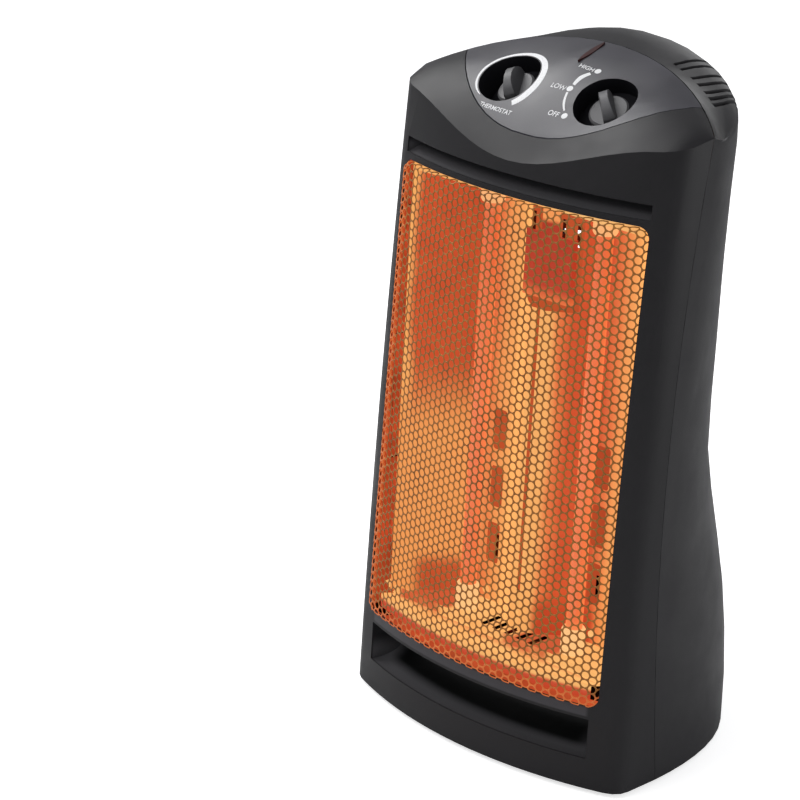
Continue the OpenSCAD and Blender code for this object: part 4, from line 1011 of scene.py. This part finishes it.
class HEATER_OT_stage(Operator):
    """Sets the camera, the floor and the studio light"""

    bl_idname = "heater.stage"
    bl_label = "Studio"

    def execute(self, context):
        stage = context.scene.heater_stage
        a, e, roll = stage.azimuth, stage.elevation, stage.roll
        back = Vector((math.sin(a) * math.cos(e), -math.cos(a) * math.cos(e), math.sin(e)))
        side = Vector((math.cos(a), math.sin(a), 0))
        up = back.cross(side)
        right = side * math.cos(roll) + up * math.sin(roll)
        top = up * math.cos(roll) - side * math.sin(roll)
        camera = bpy.data.cameras.new("camera")
        camera.sensor_width = 36
        camera.lens = stage.lens
        camera.clip_end = 50
        holder = add_object("camera", camera)
        holder.matrix_world = Matrix.Translation(Vector(stage.target) + back * stage.distance) @ Matrix(
            (right, top, back)).transposed().to_4x4()
        context.scene.camera = holder
        context.scene.view_settings.view_transform = "Standard"
        self.floor()
        self.world(context)
        self.lamp("overhead softbox", (-1.45, -0.2, 2.0), (0, -0.05, 0.45), size=1.2, power=28)
        self.lamp("front softbox", (-0.5, -2.0, 2.2), (0, 0, 0.25), size=1.2, power=20)
        self.lamp("side softbox", (2.5, 0.8, 0.6), (0, 0, 0.2), size=1.4, power=19)
        self.lamp("back softbox", (-0.8, 2.4, 1.6), (0, 0, 0.3), size=1.6, power=12)
        return {"FINISHED"}

    def floor(self):
        """A wide pale floor, white to the camera and keeping the soft shadow under the heater."""
        side = np.linspace(-8.0, 8.0, 5)
        y, x = np.meshgrid(side, side, indexing="ij")
        points = np.stack([x, y, np.zeros_like(x)], axis=-1).reshape(-1, 3)
        mesh = bpy.data.meshes.new("floor")
        mesh.from_pydata(points.tolist(), [], grid_faces(len(side), len(side)).tolist())
        f = Finish("pale floor", Roughness=0.9, Specular_IOR_Level=0.1)
        f.feed("Base Color", f.patches(3, 2.0, (0.80, 0.80, 0.80), (0.83, 0.83, 0.83)))
        path = f.node("ShaderNodeLightPath", {})
        seen = f.work_out("MAXIMUM", path.outputs["Is Camera Ray"], path.outputs["Is Transmission Ray"])
        f.feed("Emission Color", (1, 1, 1))
        f.feed("Emission Strength", f.times(seen, 0.7))
        mesh.materials.append(f.material)
        floor = add_object("floor", mesh)

    def world(self, context):
        """Even light all round, and plain white where the camera or glass sees it."""
        world = bpy.data.worlds.new("studio")
        world.use_nodes = True
        context.scene.world = world
        nodes, links = world.node_tree.nodes, world.node_tree.links
        ambient, white = nodes["Background"], nodes.new("ShaderNodeBackground")
        for light, colour, strength in ((ambient, (0.96, 0.97, 1.0, 1), 0.36), (white, (1, 1, 1, 1), 1.0)):
            light.inputs["Color"].default_value = colour
            light.inputs["Strength"].default_value = strength
        path = nodes.new("ShaderNodeLightPath")
        seen = nodes.new("ShaderNodeMath")
        seen.operation = "MAXIMUM"
        mix = nodes.new("ShaderNodeMixShader")
        for output, target in (
                (path.outputs["Is Camera Ray"], seen.inputs[0]),
                (path.outputs["Is Transmission Ray"], seen.inputs[1]),
                (seen.outputs[0], mix.inputs[0]), (ambient.outputs[0], mix.inputs[1]),
                (white.outputs[0], mix.inputs[2]),
                (mix.outputs[0], nodes["World Output"].inputs["Surface"])):
            links.new(output, target)

    def lamp(self, name, place, target, size, power):
        """A square softbox that looks at a point."""
        light = bpy.data.lights.new(name, "AREA")
        light.size = size
        light.energy = power
        turned = (Vector(place) - Vector(target)).to_track_quat("Z", "Y").to_matrix().to_4x4()
        add_object(name, light).matrix_world = Matrix.Translation(place) @ turned


class HEATER_PT_panel(Panel):
    """Lists the steps that build the heater's looks"""

    bl_label = "Quartz heater"
    bl_idname = "HEATER_PT_panel"
    bl_space_type = "VIEW_3D"
    bl_region_type = "UI"
    bl_category = "Heater"

    def draw(self, context):
        """Draws a button for each step and a box for each group of values."""
        for step in STEPS:
            self.layout.operator(step.bl_idname)
        for group in GROUPS:
            box = self.layout.box()
            values = getattr(context.scene, group)
            for key in values.bl_rna.properties.keys():
                if key not in ("rna_type", "name"):
                    box.prop(values, key)


GROUPS = {
    "heater_guard": HeaterGuardSizes,
    "heater_elements": HeaterElementSizes,
    "heater_print": HeaterPrintSizes,
    "heater_colours": HeaterColours,
    "heater_stage": HeaterStage,
}
STEPS = (HEATER_OT_stage, HEATER_OT_housings, HEATER_OT_deck, HEATER_OT_marks, HEATER_OT_knobs,
         HEATER_OT_guard, HEATER_OT_elements, HEATER_OT_reflectors, HEATER_OT_inner_parts)


def register():
    """Registers the classes and gives the scene its groups of values."""
    for item in (*GROUPS.values(), *STEPS, HEATER_PT_panel):
        bpy.utils.register_class(item)
    for name, group in GROUPS.items():
        setattr(bpy.types.Scene, name, PointerProperty(type=group))


def unregister():
    """Takes the groups of values and the classes away again."""
    for name in GROUPS:
        delattr(bpy.types.Scene, name)
    for item in reversed((*GROUPS.values(), *STEPS, HEATER_PT_panel)):
        bpy.utils.unregister_class(item)


def main():
    register()
    bpy.ops.heater.stage()
    bpy.ops.heater.housings()
    bpy.ops.heater.deck()
    bpy.ops.heater.marks()
    bpy.ops.heater.knobs()
    bpy.ops.heater.guard()
    bpy.ops.heater.elements()
    bpy.ops.heater.reflectors()
    bpy.ops.heater.inner_parts()


if __name__ == "__main__":
    main()
